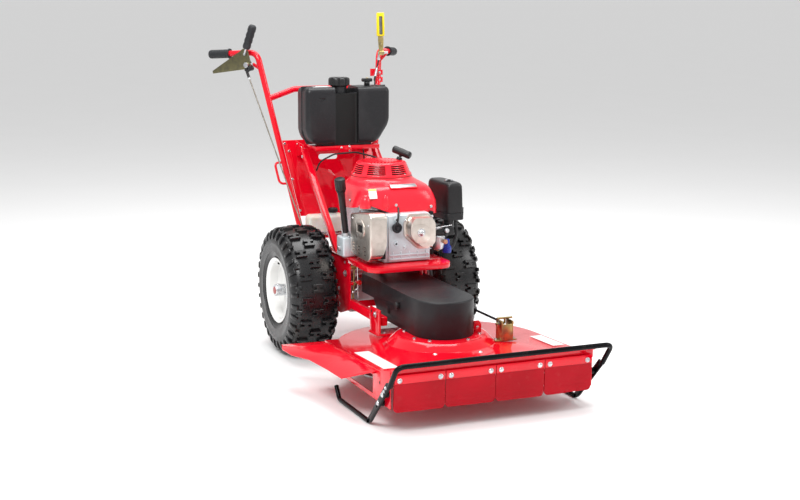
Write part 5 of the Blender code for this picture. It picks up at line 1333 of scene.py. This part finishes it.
# ---- cutting deck ----
def deck():
    """The deck with its platform, bolts, blank labels, chute and front strip."""
    extra = []
    skirt = turned([(0.1480, 0.1400), (0.1480, 0.1820), (0.1580, 0.1760), (0.1700, 0.1650), (0.1800, 0.1530),
                    (0.1850, 0.1470), (0.1868, 0.1410), (0.1866, 0.1340), (0.1600, 0.1340), (0.1480, 0.1400)],
                   (0, SPINDLE_Y, 0), Z, 120)
    extra.append((skirt, RED))
    for degrees in (-133, -72, -30, 20, 150, 200):
        a = math.radians(degrees)
        spot = Vector((0.1210 * math.cos(a), SPINDLE_Y + 0.1210 * math.sin(a), PLATFORM_TOP))
        extra.append((hex_bolt(spot, Z, 0.0062), ZINC))
    for x, y in ((-0.100, -0.800), (0.040, -0.830)):
        extra.append((dome_bolt((x, y, deck_top(y)), Z, 0.0065), ZINC))
    tilt = Matrix.Rotation(-math.atan(DECK_PITCH), 4, "X")
    bracket = sheet_cut([(0, 0), (0.026, 0), (0.026, 0.030), (0.018, 0.042), (0, 0.042)], "Y", -0.0020,
                        0.0020, 0.0006)
    extra.append((moved(bracket, Matrix.Translation((0.096, -0.668, PLATFORM_TOP - 0.004))), RED))
    extra.append((hex_bolt((0.108, -0.6700, PLATFORM_TOP + 0.016), -Y, 0.0050), ZINC))
    for side in (-1, 1):
        for y, z in SKID_BOLTS:
            extra.append((hex_bolt((side * 0.3330, y, z), -X * side, 0.0050), ZINC))
    hole = turned([(0, 0.0045), (0, 0.0085), (0.0006, 0.0085), (0.0006, 0.0045), (0, 0.0045)],
                  (-0.3352, -0.925, 0.1350), -X, 28)
    extra.append((hole, RED))
    # The near-black disc is painted shade inside the hole.
    extra.append((disc((-0.3352, -0.925, 0.1350), X, 0.0044, 0.0010, 0, 24), PAINTED_SHADE_FILL))
    dress("deck_shell", RED, 0.0010, extra, 32)
    films = []
    for x0, x1, y0, y1 in ((-0.3150, -0.2670, -0.9080, -0.6680), (0.2860, 0.3270, -0.8480, -0.6930)):
        film = block(x0, x1, y0, y1, 0.0, 0.0004)
        middle = (y0 + y1) / 2
        lift = Matrix.Translation((0, middle, deck_top(middle) + 0.0002))
        films.append((moved(film, lift @ tilt @ Matrix.Translation((0, -middle, 0))), LABEL))
    fitted("deck_labels", "deck_shell", films)
    dress("discharge_chute", RED, 0.0009)
    lip = [(pipe([(-0.330, -1.0105, 0.1960), (0.330, -1.0105, 0.1960)], 0.0022, 3), RED)]
    dress("front_angle", RED, 0.0008, lip)


def flap(index):
    """One hanging panel: a stiff band with two bolts, then a gently wavy sheet with rounded corners."""
    rng = random.Random(40 + index)
    middle = (index - 1.5) * FLAP_PITCH
    half, low, high = FLAP_PITCH / 2 - 0.0012, FLAP_LOW, FLAP_AXIS_Z + 0.002
    bm = block(middle - half, middle + half, FLAP_Y - 0.0020, FLAP_Y + 0.0020, low, high)
    corners = [e for e in bm.edges if spans(e, 1) > 0.003 and e.verts[0].co.z < low + 0.001]
    bmesh.ops.bevel(bm, geom=corners, offset=0.014, segments=8, profile=0.5, affect="EDGES", material=-1)
    columns, rows = 24, 20
    for i in range(1, columns):
        bmesh.ops.bisect_plane(bm, geom=everything(bm), dist=1e-6, plane_no=X,
                               plane_co=(middle - half + 2 * half * i / columns, 0, 0))
    for i in range(1, rows):
        bmesh.ops.bisect_plane(bm, geom=everything(bm), dist=1e-6, plane_no=Z,
                               plane_co=(0, 0, low + (high - low) * i / rows))
    phase, lean = rng.uniform(0, 6.28), rng.uniform(0.6, 1.0)
    for vert in bm.verts:
        x, z = (vert.co.x - middle) / half, vert.co.z
        drop = max(0.0, (0.1490 - z) / 0.085)
        wave = math.sin(2.2 * x + phase) * 0.0020 + math.sin(4.6 * x + 2 * phase) * 0.0009
        vert.co.y += drop * (wave + 0.0060 * lean) + 0.0007 * math.sin(26 * drop + phase) * min(1, drop)
    band = block(middle - half, middle + half, FLAP_Y - 0.0034, FLAP_Y - 0.0019, 0.1510, high + 0.001, 0.0006)
    # The hanging sheet takes the darker red, which is painted shade; the band keeps the deck red.
    parts = [(bm, FLAP_SHADED_RED), (band, RED)]
    for s in (-1, 1):
        parts.append((dome_bolt((middle + s * 0.065, FLAP_Y - 0.0032, 0.1615), -Y, 0.0072), ZINC))
    ends = [(middle + s * half, FLAP_Y, FLAP_AXIS_Z + 0.0005) for s in (-1, 1)]
    parts.append((pipe(ends, 0.0030, 4), RED))
    build("flap_%d_panel" % (index + 1), "flap_%d" % (index + 1), parts, 45)


def guard_and_skids():
    """The bent tube ahead of the deck and the two bolted runners."""
    leg = Vector((0, 0.056, -0.0745)).normalized()
    corners = [Vector((s * 0.3505, -1.0907, 0.2240)) for s in (-1, 1)]
    path = [corners[0] + leg * 0.088, corners[0], corners[1], corners[1] + leg * 0.088]
    build("guard_tube", "guard_bar", [(pipe(round_path(path, 0.026, 14), 0.0080, 7), GLOSS_BLACK)])
    for side, name in SIDES:
        x = side * 0.3515
        flat = sheet_cut([(-1.0400, 0.1490), (-0.9100, 0.0180), (-0.8960, 0.0065), (-0.8850, 0.0020),
                          (-0.8700, 0.0004), (-0.8640, 0.0120), (-0.8760, 0.0150), (-0.8880, 0.0260),
                          (-1.0180, 0.1610)],
                         "X", x - 0.0030, x + 0.0030, 0.0010)
        notch = sheet_cut(arc(-0.9560, 0.0790, 0.0034, 45, 225, 6) + arc(-0.9480, 0.0710, 0.0034, 225, 405,
                                                                         6),
                          "X", x - 0.01, x + 0.01)
        flat = cut(flat, notch)
        tube = round_path([(x, -0.8800, 0.0072), (x, -0.6350, 0.0072), (x, -0.6080, 0.0430)], 0.020, 10)
        parts = [(flat, GLOSS_BLACK), (pipe(tube, 0.0071, 6), GLOSS_BLACK)]
        for y, z in SKID_BOLTS:
            parts.append((disc((side * 0.3410, y, z), X, 0.0100, 0.0115, 0.0008, 32), GLOSS_BLACK))
            parts.append((dome_bolt((side * 0.3545, y, z), X * side, 0.0072), ZINC))
        for y, z in ((-1.0180, 0.1450), (-1.0050, 0.1315)):
            parts.append((hex_bolt((side * 0.3545, y, z), X * side, 0.0048), ZINC))
        build("skid_%s_runner" % name, "skid_" + name, parts, 40)


def coupler():
    """The two lugs that carry the deck."""
    extra = []
    for side in (-1, 1):
        out = X * side
        extra.append((hex_bolt((side * 0.1560, -0.4510, 0.2200), out, 0.0075), ZINC))
        extra.append((disc((side * 0.1568, -0.4510, 0.2200), X, 0.0105, 0.0016, 0.0003, 32), ZINC))
        # The near-black disc is painted shade inside the lug's hole.
        extra.append((disc((side * 0.1562, -0.4200, 0.2250), X, 0.0040, 0.0010, 0, 24), PAINTED_SHADE_FILL))
        for y in (-0.472, -0.416):
            extra.append((hex_bolt((side * 0.1320, y, deck_top(y) + 0.0064), Z, 0.0055), ZINC))
    dress("coupler", RED, 0.0012, extra)


def stay():
    """The plated bracket on the deck and the rod that it holds."""
    x, y = 0.186, -0.708
    low = deck_top(y - 0.024) + 0.0004
    extra = [(block(x - 0.0165, x + 0.0165, y - 0.0225, y - 0.0185, low + 0.002, low + 0.0560, 0.0010),
              GOLD_ZINC),
             (pipe([(x - 0.0280, y, low + 0.0720), (x + 0.0260, y, low + 0.0720)], 0.0036, 4), GOLD_ZINC),
             (pipe([(x, y, low + 0.0540), (x, y, low + 0.0720)], 0.0034, 4), GOLD_ZINC),
             (disc((x - 0.0240, y, low + 0.054), X, 0.0090, 0.0020, 0.0004, 30), ZINC),
             (disc((x + 0.0240, y, low + 0.054), X, 0.0090, 0.0020, 0.0004, 30), ZINC),
             (hex_bolt((x + 0.0285, y, low + 0.004), Z, 0.0050), ZINC),
             (hex_bolt((x - 0.0305, y, low + 0.004), Z, 0.0050), ZINC),
             (hex_bolt((x, y - 0.010, low + 0.004), Z, 0.0045), ZINC)]
    dress("stay_bracket", GOLD_ZINC, 0.0008, extra)
    dress("stay_rod", GLOSS_BLACK, 0.0006)


belt_drive()
deck()
for flap_index in range(4):
    flap(flap_index)
guard_and_skids()
coupler()
stay()


# ---- studio ----
def studio():
    """A pale floor, even light from all round, and three softboxes."""
    ground = fresh("grid", x_segments=2, y_segments=2, size=400)
    mesh = bpy.data.meshes.new("studio_floor")
    ground.to_mesh(mesh)
    ground.free()
    floor = bpy.data.objects.new("studio_floor", mesh)
    bpy.context.scene.collection.objects.link(floor)
    paper = Finish("studio_paper")
    paper.colour(paper.mix(rgb(0.90, 0.90, 0.90), rgb(0.88, 0.88, 0.88), paper.noise(2.0)))
    paper.roughness(paper.noise(30.0) * 0.1 + 0.75)
    mesh.materials.append(paper.material)
    floor.location.z = -0.0005

    world = bpy.data.worlds.new("studio_air")
    world.use_nodes = True
    world.node_tree.nodes["Background"].inputs["Color"].default_value = (1.0, 1.0, 1.0, 1)
    world.node_tree.nodes["Background"].inputs["Strength"].default_value = 0.72
    bpy.context.scene.world = world
    bpy.context.scene.view_settings.view_transform = "Standard"
    for name, spot, size, power in (("key_softbox", (-2.2, -2.2, 3.6), 1.6, 125),
                                    ("fill_softbox", (3.2, -2.0, 2.6), 1.8, 45),
                                    ("top_softbox", (0.2, 0.6, 3.6), 2.4, 105)):
        lamp = bpy.data.lights.new(name, "AREA")
        lamp.shape, lamp.size, lamp.energy = "SQUARE", size, power
        holder = bpy.data.objects.new(name, lamp)
        holder.location = spot
        holder.rotation_mode = "QUATERNION"
        holder.rotation_quaternion = (Vector((0, -0.2, 0.4)) - Vector(spot)).to_track_quat("-Z", "Y")
        bpy.context.scene.collection.objects.link(holder)


def camera():
    """At standing chest height, ahead of the machine's right front corner."""
    turn, tip, roll = math.radians(-23.215), math.radians(9.504), math.radians(0.312)
    back = Vector((math.sin(turn) * math.cos(tip), -math.cos(turn) * math.cos(tip), math.sin(tip)))
    lens = bpy.data.cameras.new("studio_camera")
    lens.sensor_width, lens.lens = 36.0, 64.61
    lens.shift_x, lens.shift_y = 0.001, -0.0383
    view = bpy.data.objects.new("studio_camera", lens)
    view.location = Vector((-1.8889, -4.6855, 1.3013)) + AXLE
    view.rotation_mode = "QUATERNION"
    view.rotation_quaternion = (-back).to_track_quat("-Z", "Y") @ Matrix.Rotation(roll, 3,
                                                                                  "Z").to_quaternion()
    bpy.context.scene.collection.objects.link(view)
    bpy.context.scene.camera = view


studio()
camera()
bpy.context.view_layer.update()
